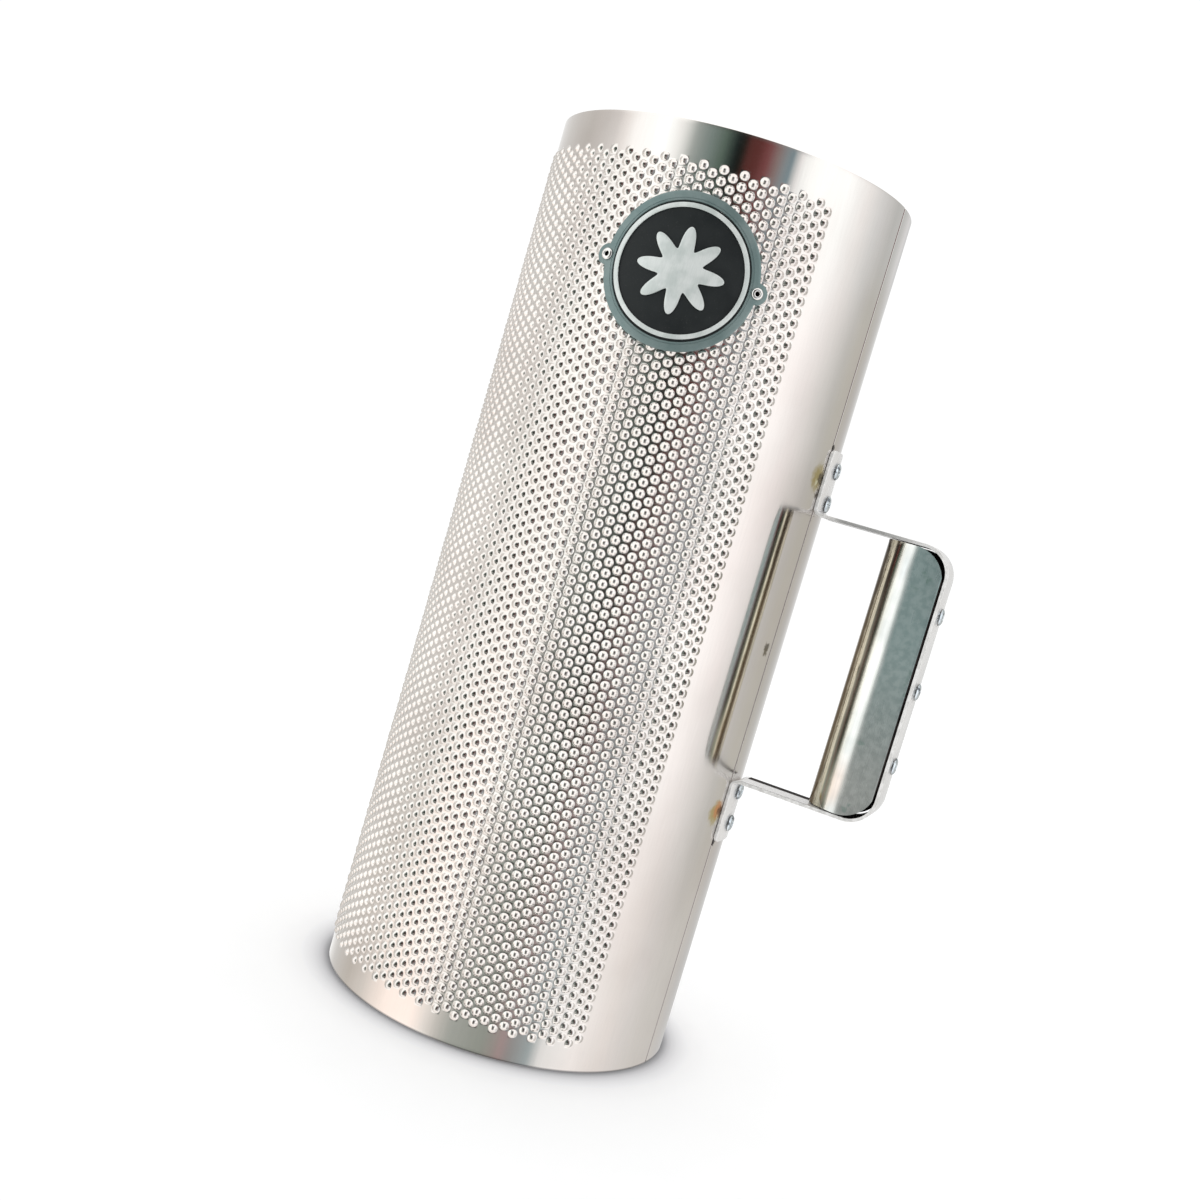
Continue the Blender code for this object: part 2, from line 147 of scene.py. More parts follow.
class Surface:
    """A material, its shader and the nodes that feed it."""

    def __init__(self, name):
        self.material = bpy.data.materials.new(name)
        self.material.use_nodes = True
        self.tree = self.material.node_tree
        self.shader = self.tree.nodes["Principled BSDF"]
        self.where = self.node("TexCoord").outputs["Object"]

    def node(self, kind, *sources):
        """A new node, with its first inputs fed by the sources."""
        item = self.tree.nodes.new("ShaderNode" + kind)
        for socket, source in zip(item.inputs, sources):
            self.feed(socket, source)
        return item

    def feed(self, socket, source):
        """Links the socket to another node's output, or sets it to a value."""
        if isinstance(source, bpy.types.NodeSocket):
            self.tree.links.new(source, socket)
        elif socket.type == "RGBA":
            socket.default_value = (*source, 1.0)
        else:
            socket.default_value = source

    def put(self, name, source):
        self.feed(self.shader.inputs[name], source)

    def fed(self, name):
        """What feeds one of the shader's inputs so far."""
        return self.shader.inputs[name].links[0].from_socket

    def axes(self):
        return self.node("SeparateXYZ", self.where).outputs

    def noise(self, scale, detail=3.0, stretch=(1, 1, 1)):
        mapping = self.node("Mapping", self.where)
        mapping.inputs["Scale"].default_value = stretch
        item = self.node("TexNoise", mapping.outputs["Vector"])
        item.inputs["Scale"].default_value = scale
        item.inputs["Detail"].default_value = detail
        return item.outputs["Fac"]

    def mix(self, factor, first, second, blend="MIX"):
        item = self.node("Mix")
        item.data_type = "RGBA"
        item.blend_type = blend
        for index, source in zip(MIX_SOCKETS, (factor, first, second)):
            self.feed(item.inputs[index], source)
        return item.outputs[MIX_RESULT]

    def math(self, operation, *sources):
        item = self.node("Math", *sources)
        item.operation = operation
        return item.outputs[0]

    def ease(self, value, low, high, to_low, to_high):
        """The value taken from one range to the other, with soft ends."""
        item = self.node("MapRange", value, low, high, to_low, to_high)
        item.interpolation_type = "SMOOTHSTEP"
        return item.outputs["Result"]

    def line(self, value, middle, solid, gone, amount):
        """A soft line of that amount where the value is near the middle."""
        off = self.math("ABSOLUTE", self.math("SUBTRACT", value, middle))
        return self.ease(off, solid, gone, amount, 0.0)

    def distance(self, place):
        item = self.node("VectorMath", self.where, place)
        item.operation = "DISTANCE"
        return item.outputs["Value"]

    def ramp(self, factor, stops):
        item = self.node("ValToRGB", factor)
        elements = item.color_ramp.elements
        elements.remove(elements[-1])
        elements[0].position = stops[0][0]
        elements[0].color = (*stops[0][1], 1.0)
        for place, colour in stops[1:]:
            elements.new(place).color = (*colour, 1.0)
        return item.outputs["Color"]

    def bump(self, height, distance):
        item = self.node("Bump")
        item.inputs["Distance"].default_value = distance
        self.feed(item.inputs["Height"], height)
        self.put("Normal", item.outputs["Normal"])


def metal(name, dark, light, rough, scratch, grain_scale, patch_scale=22.0, grain=(1, 1, 1), fleck=0.1,
          metallic=1.0, specular=0.5):
    """A bare metal: two tones in soft patches, fine grain in its gloss, and faint scratches."""
    paint = Surface(name)
    patches = paint.noise(patch_scale, 4.0)
    fine = paint.noise(grain_scale, 2.0, grain)
    tone = paint.mix(paint.ease(patches, 0.35, 0.65, 0.0, 1.0), dark, light)
    flecks = paint.ease(fine, 0.3, 0.75, 0.0, fleck)
    paint.put("Base Color", paint.mix(flecks, tone, grey(0.35), "MULTIPLY"))
    uneven = paint.ease(fine, 0.3, 0.7, -0.15 * fleck, 0.15 * fleck)
    paint.put("Roughness", paint.math("ADD", paint.ease(patches, 0.3, 0.7, *rough), uneven))
    paint.put("Metallic", metallic)
    paint.put("Specular IOR Level", specular)
    paint.bump(fine, scratch)
    return paint


# Spot welds along the lap, and painted shadow dots at the near corners of the feet's ends: angle, height,
# radius and tint
WELDS_AND_SHADOW_DOTS = (
    (-10.9, 0.2131, 0.0062, (0.5, 0.41, 0.17)),
    (-9.0, 0.2129, 0.0032, (0.12, 0.09, 0.04)),
    (-11.4, 0.2114, 0.0014, (0.86, 0.82, 0.6)),
    (-8.2, 0.2075, 0.0022, (0.1, 0.07, 0.04)),
    (-10.8, 0.1531, 0.0022, (0.16, 0.14, 0.11)),
    (-10.8, 0.1512, 0.002, (0.2, 0.17, 0.12)),
    (-11.4, 0.0932, 0.0058, (0.6, 0.5, 0.22)),
    (-10.4, 0.0944, 0.004, (0.8, 0.36, 0.14)),
    (-8.7, 0.0936, 0.0028, (0.22, 0.09, 0.02)),
    # Painted shadow: near-black dots at the near corners of the feet's ends
    (-5.6, 0.2244, 0.0017, (0.02, 0.018, 0.018)),
    (-5.6, 0.082, 0.0017, (0.02, 0.015, 0.02)),
)


def body_metal():
    """Bright rolled stainless with a faint upright grain, heat tint round the spot welds, painted shadow dots
    at the feet's end corners, and painted shade along its bottom edge.
    """
    paint = metal("tube_steel", (0.8, 0.758, 0.734), (0.862, 0.826, 0.804), (0.1, 0.13), 0.0000004,
                  1400.0, grain=(1, 1, 0.08), fleck=0.03)
    # Rolled lengthways round the tube, which draws its reflections out upwards
    paint.put("Anisotropic", 0.85)
    paint.put("Anisotropic Rotation", 0.25)
    clouds = paint.ease(paint.noise(55.0, stretch=(1, 1, 0.35)), 0.35, 0.65, 0.0, 0.3)
    colour = paint.mix(clouds, paint.fed("Base Color"), (0.95, 1.0, 1.0), "MULTIPLY")
    # Painted shade: the lowest 0.8 mm of the tube is darkened towards dark grey where it meets the floor
    foot = paint.ease(paint.axes()["Z"], 0.0002, 0.0008, 0.75, 0.0)
    colour = paint.mix(foot, colour, (0.16, 0.165, 0.175))
    ragged = paint.ease(paint.noise(600.0), 0.3, 0.7, -0.0006, 0.0006)
    for angle, height, size, tint in WELDS_AND_SHADOW_DOTS:
        away = paint.math("ADD", paint.distance(TUBE_AXIS @ polar(angle, TUBE_RADIUS, height)), ragged)
        colour = paint.mix(paint.ease(away, size * 0.35, size, 0.93, 0.0), colour, tint)
    paint.put("Base Color", colour)
    return paint.material


def strap_metal():
    """Bright plated bar, a little milky."""
    return metal("strap_bright_steel", (0.88, 0.87, 0.865), (0.95, 0.945, 0.94), (0.16, 0.26), 0.0000016,
                 1300.0, 60.0, metallic=0.35).material


def sheared_edge():
    """The strap's cut edges, with painted shade darkening them along the upper arm and fading past the grip's
    nose.
    """
    paint = metal("strap_sheared_edge", (0.7, 0.695, 0.68), (0.88, 0.875, 0.865), (0.38, 0.52), 0.000003,
                  1600.0, 420.0, metallic=0.25)
    x, y, z = paint.axes()
    foot, nose = AXIS_X + FOOT_FACE, AXIS_X + GRIP_FRONT
    # Painted shade: the upper arm's cut edges are darkened towards dark grey
    arm = paint.math("MULTIPLY", paint.ease(z, STRAP_TOP - 0.003, STRAP_TOP - 0.0015, 0.0, 1.0),
                     paint.ease(x, foot + 0.003, foot + 0.01, 0.0, 0.8))
    upper_arm_painted_shade = paint.math("MULTIPLY", arm, paint.ease(x, nose - 0.004, nose + 0.014, 1.0, 0.25))
    paint.put("Base Color", paint.mix(upper_arm_painted_shade, paint.fed("Base Color"), (0.24, 0.245, 0.24)))
    return paint.material


def grip_metal():
    """Satin gloss on the flat sides and painted reflection in its colour: darker teal-grey tones on the flat
    sides, brighter round the nose with a straw tint and a dark line, and a dark brown band along its tip.
    """
    paint = metal("grip_brushed_steel", (0.68, 0.7, 0.69), (0.9, 0.9, 0.88), (0.0, 0.05), 0.0000035,
                  2200.0, 45.0, grain=(1, 1, 0.05), specular=0.2)
    paint.put("Anisotropic", 0.3)
    x, y, z = paint.axes()
    tip = AXIS_X + GRIP_FRONT
    flat = paint.ease(x, tip + 0.0092, tip + 0.0122, 0.0, 1.0)
    top = paint.ease(z, 0.16, 0.192, 0.0, 1.0)
    satin_gloss = paint.ease(flat, 0.0, 1.0, 0.09, 0.27)
    paint.put("Roughness", paint.math("ADD", paint.fed("Roughness"), satin_gloss))

    # Painted reflection: a straw tint round the nose and a dark line across it near the top
    nose_straw_reflection = paint.ease(x, tip + 0.004, tip + 0.0085, 1.0, 0.0)
    colour = paint.mix(nose_straw_reflection, paint.fed("Base Color"), (1.0, 0.94, 0.77), "MULTIPLY")
    nose_reflection_line = paint.math("MULTIPLY", paint.line(x, tip + 0.0043, 0.0003, 0.0009, 0.85), top)
    colour = paint.mix(nose_reflection_line, colour, (0.07, 0.04, 0.03))

    # Painted reflection and shade: the flat sides' tones, darker teal towards the top and grey lower down,
    # with random specks
    mottle = paint.ease(paint.noise(420.0, 4.0), 0.36, 0.64, 0.0, 1.0)
    upper = paint.mix(mottle, (0.18, 0.265, 0.26), (0.25, 0.335, 0.33))
    lower = paint.mix(mottle, (0.285, 0.302, 0.288), (0.365, 0.382, 0.366))
    flat_side_reflection_tone = paint.mix(paint.ease(z, 0.108, 0.172, 0.0, 1.0), lower, upper)
    specks = paint.ease(paint.noise(240.0, 2.0), 0.66, 0.74, 0.0, 0.5)
    flat_side_reflection_tone = paint.mix(specks, flat_side_reflection_tone, (0.1, 0.19, 0.155))
    colour = paint.mix(flat, colour, paint.mix(0.92, colour, flat_side_reflection_tone))

    # A painted dark reflection band along the tip thins out past its middle, and a weaker one runs along the
    # far flank
    wander = paint.math("ADD", x, paint.ease(paint.noise(90.0), 0.3, 0.7, -0.0003, 0.0003))
    tip_dark_reflection = paint.math("MULTIPLY", paint.ease(wander, tip + 0.0014, tip + 0.0027, 0.94, 0.0),
                       paint.ease(y, AXIS_Y - 0.0018, AXIS_Y + 0.0004, 1.0, 0.2))
    flank_dark_reflection = paint.math("MULTIPLY", paint.line(y, AXIS_Y + 0.0045, 0.0004, 0.0016, 0.7),
                       paint.math("SUBTRACT", 1.0, flat))
    tip_dark_reflection = paint.math("MAXIMUM", tip_dark_reflection, flank_dark_reflection)
    reflection_brown = paint.mix(top, (0.13, 0.085, 0.04), (0.05, 0.03, 0.015))
    paint.put("Base Color", paint.mix(tip_dark_reflection, colour, reflection_brown))
    dulled = paint.math("MAXIMUM", paint.math("MULTIPLY", flat, 0.6), paint.math("MULTIPLY", tip_dark_reflection, 0.7))
    paint.put("Metallic", paint.math("SUBTRACT", 1.0, dulled))
    return paint.material


def painted_shade_inside():
    """Painted shade: unpolished, unlit inner faces and gaps, close to black."""
    return metal("inside_painted_shade", (0.016, 0.013, 0.013), (0.045, 0.036, 0.034), (0.65, 0.8), 0.000003,
                 1500.0, 200.0, metallic=0.0, specular=0.08).material


def rivet_metal():
    """Dull aluminium with painted reflection: a bluish tint and dark patches standing in for the heads' dark
    reflections.
    """
    paint = metal("rivet_dull_aluminium", (0.68, 0.76, 0.82), (0.84, 0.92, 0.97), (0.18, 0.3), 0.000006,
                  1800.0, 260.0)
    # Painted reflection: random dark patches over the heads
    dark_reflection_patches = paint.ease(paint.noise(520.0), 0.53, 0.62, 0.0, 0.85)
    paint.put("Base Color", paint.mix(dark_reflection_patches, paint.fed("Base Color"), (0.06, 0.075, 0.1)))
    return paint.material


def eyelet_metal():
    return metal("eyelet_nickel", (0.84, 0.84, 0.83), (0.92, 0.92, 0.91), (0.12, 0.2), 0.000004,
                 2000.0, 300.0).material


def stem_metal():
    return metal("stem_dark_steel", (0.16, 0.155, 0.15), (0.28, 0.27, 0.26), (0.35, 0.5), 0.00001,
                 1500.0, 400.0).material


def badge_rim_metal():
    return metal("badge_grey_metal", (0.175, 0.243, 0.24), (0.225, 0.292, 0.288), (0.3, 0.42), 0.000006,
                 2400.0, 120.0, metallic=0.35, specular=0.2).material


def relief_metal():
    return metal("badge_pale_metal", (0.62, 0.675, 0.655), (0.74, 0.78, 0.765), (0.34, 0.46), 0.000009,
                 3600.0, 200.0, grain=(1, 1, 0.12), metallic=0.3).material


def dark_bore():
    paint = Surface("bore_shadow")
    paint.put("Base Color", paint.mix(paint.noise(2000.0), grey(0.012), grey(0.035)))
    paint.put("Roughness", 0.7)
    return paint.material


def enamel():
    paint = Surface("badge_enamel_black")
    specks = paint.noise(2600.0, 2.0)
    clouds = paint.noise(160.0)
    tone = paint.mix(clouds, (0.01, 0.013, 0.014), (0.022, 0.026, 0.027))
    paint.put("Base Color", paint.mix(paint.ease(specks, 0.62, 0.75, 0.0, 0.5), tone, grey(0.05)))
    paint.put("Roughness", paint.ease(clouds, 0.3, 0.7, 0.38, 0.52))
    paint.put("Specular IOR Level", 0.22)
    paint.bump(specks, 0.00001)
    return paint.material


# Mesh helpers

def new_object(name, data):
    item = bpy.data.objects.new(name, data)
    bpy.context.scene.collection.objects.link(item)
    return item


def add_piece(name, mesh, surface, nodes):
    """Shows a mesh made round the tube's axis as a piece of its own, in place of the CAD nodes."""
    mesh.transform(TUBE_AXIS)
    item = new_object(name, mesh)
    mesh.materials.clear()
    mesh.materials.append(surface)
    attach(item, "root")
    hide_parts(*nodes)


def new_mesh(name, points, faces):
    mesh = bpy.data.meshes.new(name)
    mesh.from_pydata(points, [], faces)
    mesh.validate()
    return mesh


def grid_faces(columns, rows, wrap_columns=False, wrap_rows=False):
    """The quads between columns of points, each column with the same number of rows."""
    faces = []
    for c in range(columns if wrap_columns else columns - 1):
        here, following = c * rows, (c + 1) % columns * rows
        for r in range(rows if wrap_rows else rows - 1):
            after = (r + 1) % rows
            faces.append((here + r, here + after, following + after, following + r))
    return faces


def smooth(mesh):
    mesh.shade_smooth()
    mesh.set_sharp_from_angle(angle=math.radians(SHARP_ANGLE))
    return mesh


def poured(shape, mesh):
    shape.to_mesh(mesh)
    shape.free()
    return mesh


def outwards(mesh):
    """Turns every face to look out of the closed mesh."""
    shape = bmesh.new()
    shape.from_mesh(mesh)
    bmesh.ops.remove_doubles(shape, verts=shape.verts, dist=1e-7)
    bmesh.ops.recalc_face_normals(shape, faces=shape.faces)
    return poured(shape, mesh)


def modify(item, kind, **settings):
    step = item.modifiers.new(kind.lower(), kind)
    for name, value in settings.items():
        setattr(step, name, value)


def after_modifiers(item, name, *tools):
    """The object's mesh after its modifiers. The object and its tools go."""
    graph = bpy.context.evaluated_depsgraph_get()
    result = bpy.data.meshes.new_from_object(item.evaluated_get(graph))
    for used in (item, *tools):
        data = used.data
        bpy.data.objects.remove(used, do_unlink=True)
        bpy.data.meshes.remove(data)
    result.name = name
    return smooth(result)


def drill(mesh, rods):
    """Cuts each rod, given as (centre, direction, radius, length), out of the mesh."""
    item = new_object("drilled", mesh)
    tools = []
    for centre, direction, radius, length in rods:
        place = Matrix.Translation(centre) @ Vector(direction).to_track_quat("Z", "Y").to_matrix().to_4x4()
        shape = bmesh.new()
        bmesh.ops.create_cone(shape, cap_ends=True, segments=28, radius1=radius, radius2=radius, depth=length,
                              matrix=place)
        tools.append(new_object("rod", poured(shape, bpy.data.meshes.new("rod"))))
        modify(item, "BOOLEAN", operation="DIFFERENCE", object=tools[-1])
    return after_modifiers(item, mesh.name + "_drilled", *tools)


def cut_holes(mesh, levels, middle, reach):
    """Drills rivet holes along X at these heights, reaching that far to both sides of the middle."""
    return drill(mesh, [((middle, 0.0, level), (1, 0, 0), HOLE, 2 * reach) for level in levels])


def lathe(name, profile, steps):
    """A closed profile of (radius, height) points turned about Z, with faces that look out."""
    points = [polar(360.0 * i / steps, r, z) for i in range(steps) for r, z in profile]
    faces = grid_faces(steps, len(profile), wrap_columns=True, wrap_rows=True)
    return smooth(outwards(new_mesh(name, points, faces)))


def arc(centre, radius, start, end, steps):
    angles = [math.radians(start + (end - start) * i / steps) for i in range(steps + 1)]
    return [(centre[0] + radius * math.cos(a), centre[1] + radius * math.sin(a)) for a in angles]


# Camera

def make_camera():
    data = bpy.data.cameras.new("camera")
    data.lens = CAMERA_LENS
    data.sensor_width = 36.0
    data.clip_start = 0.01
    data.clip_end = 50.0
    camera = new_object("camera", data)
    place = TUBE_AXIS @ spin(CAMERA_TURN, "Z") @ Matrix.Translation(CAMERA_PLACE)
    aim = spin(-CAMERA_YAW, "Z") @ spin(90.0 + CAMERA_PITCH, "X") @ spin(CAMERA_ROLL, "Z")
    camera.matrix_world = place @ aim
    bpy.context.scene.camera = camera


# The tube's sheet, with its bumps pressed out from inside

BROKEN_EDGE = 0.0002
BARE_MARGIN = 0.0016         # from a rim to the first plain row of the sheet
RING_POINTS = 12             # points in each ring of a bump, as many as its cell's border has
CELL_BORDER = [(0, 2), (0, 3), (0, 4), (1, 4), (2, 4), (2, 3), (2, 2), (2, 1), (2, 0), (1, 0), (0, 0), (0, 1)]
CHART_MARGIN = 0.005
CHART_OUTER = (0.31, 0.995)
CHART_INNER = (0.005, 0.28)
CHART_EDGES = (0.285, 0.291, 0.297, 0.303)
CHART_EDGE_WIDTH = 0.003
TUBE_SPAN = 360.0 + LAP_ANGLE    # degrees that the sheet covers, lap included


def tube_columns():
    """(angle, inward step) of each grid column, clockwise from the outer layer's free edge."""
    whole = SEAM_ANGLE - 360.0
    field_end = FIELD_START - COLUMNS * COLUMN_PITCH
    edge = [(SEAM_ANGLE, 0.00012), (SEAM_ANGLE - 0.12, 0.00004), (SEAM_ANGLE - 0.3, 0.0)]
    first = np.linspace(SEAM_ANGLE - 1.6, FIELD_START, 22)
    field = np.linspace(FIELD_START, field_end, 2 * COLUMNS + 1)[1:]
    step_start, step_end = whole + JOGGLE[0], whole + JOGGLE[1]
    second = np.linspace(field_end, step_start, 38)[1:]
    drop = SHEET + GAP
    part = np.linspace(0.2, 1.0, 5)
    joggle = list(zip(step_start + (step_end - step_start) * part, drop * part * part * (3 - 2 * part)))
    lap = [(a, drop) for a in np.linspace(step_end, step_end - LAP_ANGLE - JOGGLE[1], 6)[1:]]
    return edge + [(a, 0.0) for a in (*first, *field, *second)] + joggle + lap, len(edge) + len(first) - 1


def tube_rows():
    """Heights of the grid rows, and how far the edges are broken at each."""
    pitch = (BUMP_HIGH - BUMP_LOW) / (BUMP_ROWS - 1)
    field_low = BUMP_LOW - pitch / 2
    quarters = 4 * BUMP_ROWS
    edge = [(0.0, BROKEN_EDGE), (0.3 * BROKEN_EDGE, BROKEN_EDGE * 0.3), (BROKEN_EDGE, 0.0)]
    low = edge + [(z, 0.0) for z in np.linspace(BARE_MARGIN, field_low, 6)[:-1]]
    field = [(field_low + i * pitch / 4, 0.0) for i in range(quarters + 1)]
    top = field_low + quarters * pitch / 4
    high = [(z, 0.0) for z in np.linspace(top, TUBE_HEIGHT - BARE_MARGIN, 7)[1:]]
    high += [(TUBE_HEIGHT - z, ease) for z, ease in edge[::-1]]
    return low + field + high, len(low)


def unrolled(angle):
    """Where an angle from the outer layer's free edge falls across the chart."""
    return CHART_MARGIN + (1 - 2 * CHART_MARGIN) * angle / TUBE_SPAN


class SheetSide:
    """One side of the tube's sheet: a grid with a ringed cell in place of the quads of each bump."""

    def __init__(self, outer, columns, first_column, rows, first_row):
        self.base = TUBE_RADIUS if outer else TUBE_RADIUS - SHEET
        self.facing = 1.0 if outer else -1.0
        self.slopes = BUMP_SLOPES if outer else DIMPLE_SLOPES
        angle = np.radians([c[0] for c in columns])[:, None] + np.zeros(len(rows))
        height = np.array([r[0] for r in rows]) + np.zeros((len(columns), 1))
        drop = np.array([c[1] for c in columns])[:, None]
        ease = np.array([r[1] for r in rows])[None, :]
        points = self.at(angle, self.base - drop - (ease if outer else -0.6 * ease), height)
        normals = np.cross(np.gradient(points, axis=1), np.gradient(points, axis=0))
        normals *= self.facing / np.linalg.norm(normals, axis=-1, keepdims=True)
        self.points, self.normals, self.lay, self.faces = [], [], [], []
        self.add(angle, height, points, normals)
        self.press(columns, first_column, rows, first_row)
        self.points, self.normals, self.lay = map(np.concatenate, (self.points, self.normals, self.lay))
        self.used = np.zeros(len(self.points), bool)
        for group in self.faces:
            self.used[group.ravel()] = True

    @staticmethod
    def at(angle, radius, height):
        return np.stack([radius * np.cos(angle), radius * np.sin(angle), height], -1)

    def add(self, angle, height, points, normals):
        self.points.append(points.reshape(-1, 3))
        self.normals.append(normals.reshape(-1, 3))
        self.lay.append(np.stack([-np.degrees(angle), height], -1).reshape(-1, 2))

    def press(self, columns, first_column, rows, first_row):
        """Adds the rings of every bump, from its foot to its top, and the quads left between bumps."""
        cells = []
        for column in range(COLUMNS):
            short = 1 - column % 2   # half a pitch higher, with one bump less
            for row in range(BUMP_ROWS - short):
                cells.append((first_column + 2 * column, first_row + 2 * short + 4 * row))
        cells = np.array(cells)
        taken = np.zeros((len(columns), len(rows)), bool)
        for c, r in cells:
            taken[c:c + 2, r:r + 4] = True
        quads = np.argwhere(~taken[:-1, :-1])
        a = quads[:, 0] * len(rows) + quads[:, 1]
        self.faces.append(np.stack([a, a + 1, a + len(rows) + 1, a + len(rows)], -1))

        mid_angle = np.radians(np.array([columns[c + 1][0] for c, r in cells]))[:, None]
        mid_height = np.array([rows[r + 2][0] for c, r in cells])[:, None]
        # No two bumps are pressed quite alike
        chance = np.random.default_rng(BUMP_SEED)
        stretch = chance.uniform(1 - BUMP_SPREAD, 1 + BUMP_SPREAD, len(cells))[:, None]
        tilt = chance.uniform(-BUMP_TILT, BUMP_TILT, (2, len(cells)))[..., None]
        previous = np.stack([(cells[:, 0] + dc) * len(rows) + cells[:, 1] + dr for dc, dr in CELL_BORDER], -1)
        count = len(self.points[0])
        foot = self.slopes[-1][0]
        for radius, slope in self.slopes[::-1]:
            rise = self.rise(radius)
            fall = math.tan(math.radians(slope)) * stretch
            near = 1 - radius / foot
            around = np.arange(RING_POINTS) * 2 * math.pi / RING_POINTS if radius else np.zeros(1)
            across, up = radius * np.cos(around), radius * np.sin(around)
            angle = mid_angle + across / TUBE_RADIUS
            height = mid_height + up
            lifted = self.base + rise * stretch + near * (tilt[0] * across + tilt[1] * up)
            sideways = self.at(angle + math.pi / 2, 1.0, 0 * height)
            normal = self.at(angle, 1.0, 0 * height)
            normal += sideways * (fall * np.cos(around) - near * tilt[0])[..., None]
            normal[..., 2] += fall * np.sin(around) - near * tilt[1]
            normal *= self.facing / np.linalg.norm(normal, axis=-1, keepdims=True)
            ids = (count + np.arange(angle.size)).reshape(angle.shape)
            count += angle.size
            self.add(angle, height, self.at(angle, lifted, height), normal)
            following = np.roll(previous, -1, 1)
            ring = [np.roll(ids, -1, 1), ids] if radius else [ids + 0 * previous]
            self.faces.append(np.stack([previous, following, *ring], -1).reshape(-1, 2 + len(ring)))
            previous = ids

    def rise(self, radius):
        """Height above the sheet at one of a bump's rings, summed from the slopes outside it."""
        height = 0.0
        for (inner, steep_in), (outer, steep_out) in zip(self.slopes, self.slopes[1:]):
            if inner >= radius:
                mean = (math.tan(math.radians(steep_in)) + math.tan(math.radians(steep_out))) / 2
                height += (outer - inner) * mean
        return height

    def chart(self, low, high):
        """Each face's corners on the strip of the unit square between low and high, unrolled."""
        across, height = unrolled(self.lay[:, 0] + SEAM_ANGLE), self.lay[:, 1]
        flat = np.stack([across, low + (high - low) * height / TUBE_HEIGHT], -1)
        return [flat[group] for group in self.faces]


def cut_edges(columns, rows, shift):
    """Faces that join the two sides along the sheet's four cut edges, and their strips of the chart."""
    across = [unrolled(SEAM_ANGLE - angle) for angle, drop in columns]
    along = [CHART_MARGIN + 0.7 * height / TUBE_HEIGHT for height, ease in rows]
    top = len(rows) - 1
    end = (len(columns) - 1) * len(rows)
    faces = []
    placed = []

    def join(first, second, strip, now, after):
        a, b = CHART_EDGES[strip], CHART_EDGES[strip] + CHART_EDGE_WIDTH
        faces.append((first, second, second + shift, first + shift))
        placed.append([(now, a), (after, a), (after, b), (now, b)])

    for c in range(len(columns) - 1):
        low, following = c * len(rows), (c + 1) * len(rows)
        join(low, following, 0, across[c], across[c + 1])
        join(following + top, low + top, 1, across[c + 1], across[c])
    for r in range(top):
        join(r + 1, r, 2, along[r + 1], along[r])
        join(end + r, end + r + 1, 3, along[r], along[r + 1])
    return np.array(faces), np.array(placed)


def make_tube():
    columns, first_column = tube_columns()
    rows, first_row = tube_rows()
    outer = SheetSide(True, columns, first_column, rows, first_row)
    inner = SheetSide(False, columns, first_column, rows, first_row)
    shift = len(outer.points)
    edges, edge_chart = cut_edges(columns, rows, shift)
    faces = outer.faces + [(f + shift)[:, ::-1] for f in inner.faces] + [edges]
    flat = outer.chart(*CHART_OUTER) + [f[:, ::-1] for f in inner.chart(*CHART_INNER)] + [edge_chart]

    used = np.concatenate([outer.used, inner.used])
    points = np.concatenate([outer.points, inner.points])[used]
    normals = np.concatenate([outer.normals, inner.normals])[used]
    number = np.cumsum(used) - 1
    by_size = [i for size in (3, 4) for i, f in enumerate(faces) if f.shape[1] == size]
    corners = np.concatenate([number[faces[i]].ravel() for i in by_size])
    sizes = np.concatenate([np.full(len(faces[i]), faces[i].shape[1]) for i in by_size])
    mesh = bpy.data.meshes.new("tube_sheet")
    mesh.vertices.add(len(points))
    mesh.vertices.foreach_set("co", points.astype(np.float32).ravel())
    mesh.loops.add(len(corners))
    mesh.loops.foreach_set("vertex_index", corners.astype(np.int32))
    mesh.polygons.add(len(sizes))
    mesh.polygons.foreach_set("loop_start", np.cumsum(sizes) - sizes)
    mesh.polygons.foreach_set("use_smooth", np.ones(len(sizes), bool))
    mesh.update(calc_edges=True)
    mesh.normals_split_custom_set_from_vertices(normals.astype(np.float32).tolist())
    # Each side of the sheet unrolled, in a chart named OFBake
    chart = mesh.uv_layers.new(name="OFBake")
    chart.data.foreach_set("uv", np.concatenate([flat[i].reshape(-1) for i in by_size]).astype(np.float32))
    add_piece("tube_sheet", mesh, body_metal(), ["body_sheet"])


# The handle's strap

FOOT_LEVELS = [STRAP_TOP + FOOT_RIVETS[1], STRAP_TOP + FOOT_RIVETS[0],
               STRAP_BOTTOM - FOOT_RIVETS[0], STRAP_BOTTOM - FOOT_RIVETS[1]]
GRIP_LEVELS = [MIDDLE + GRIP_RIVET_PITCH, MIDDLE, MIDDLE - GRIP_RIVET_PITCH]
HOLE = RIVET_SHANK + GAP
STRAP_EDGE = 0.00032         # rounding of the section's outer corners
END_ROUND = 0.0003           # rounding of the feet's ends
EDGE_LEAN = 0.00022          # how far the sheared edges lean in towards the inner face
FOOT_PRESS = 1.5             # how closely the feet follow the tube, 1 for its own round


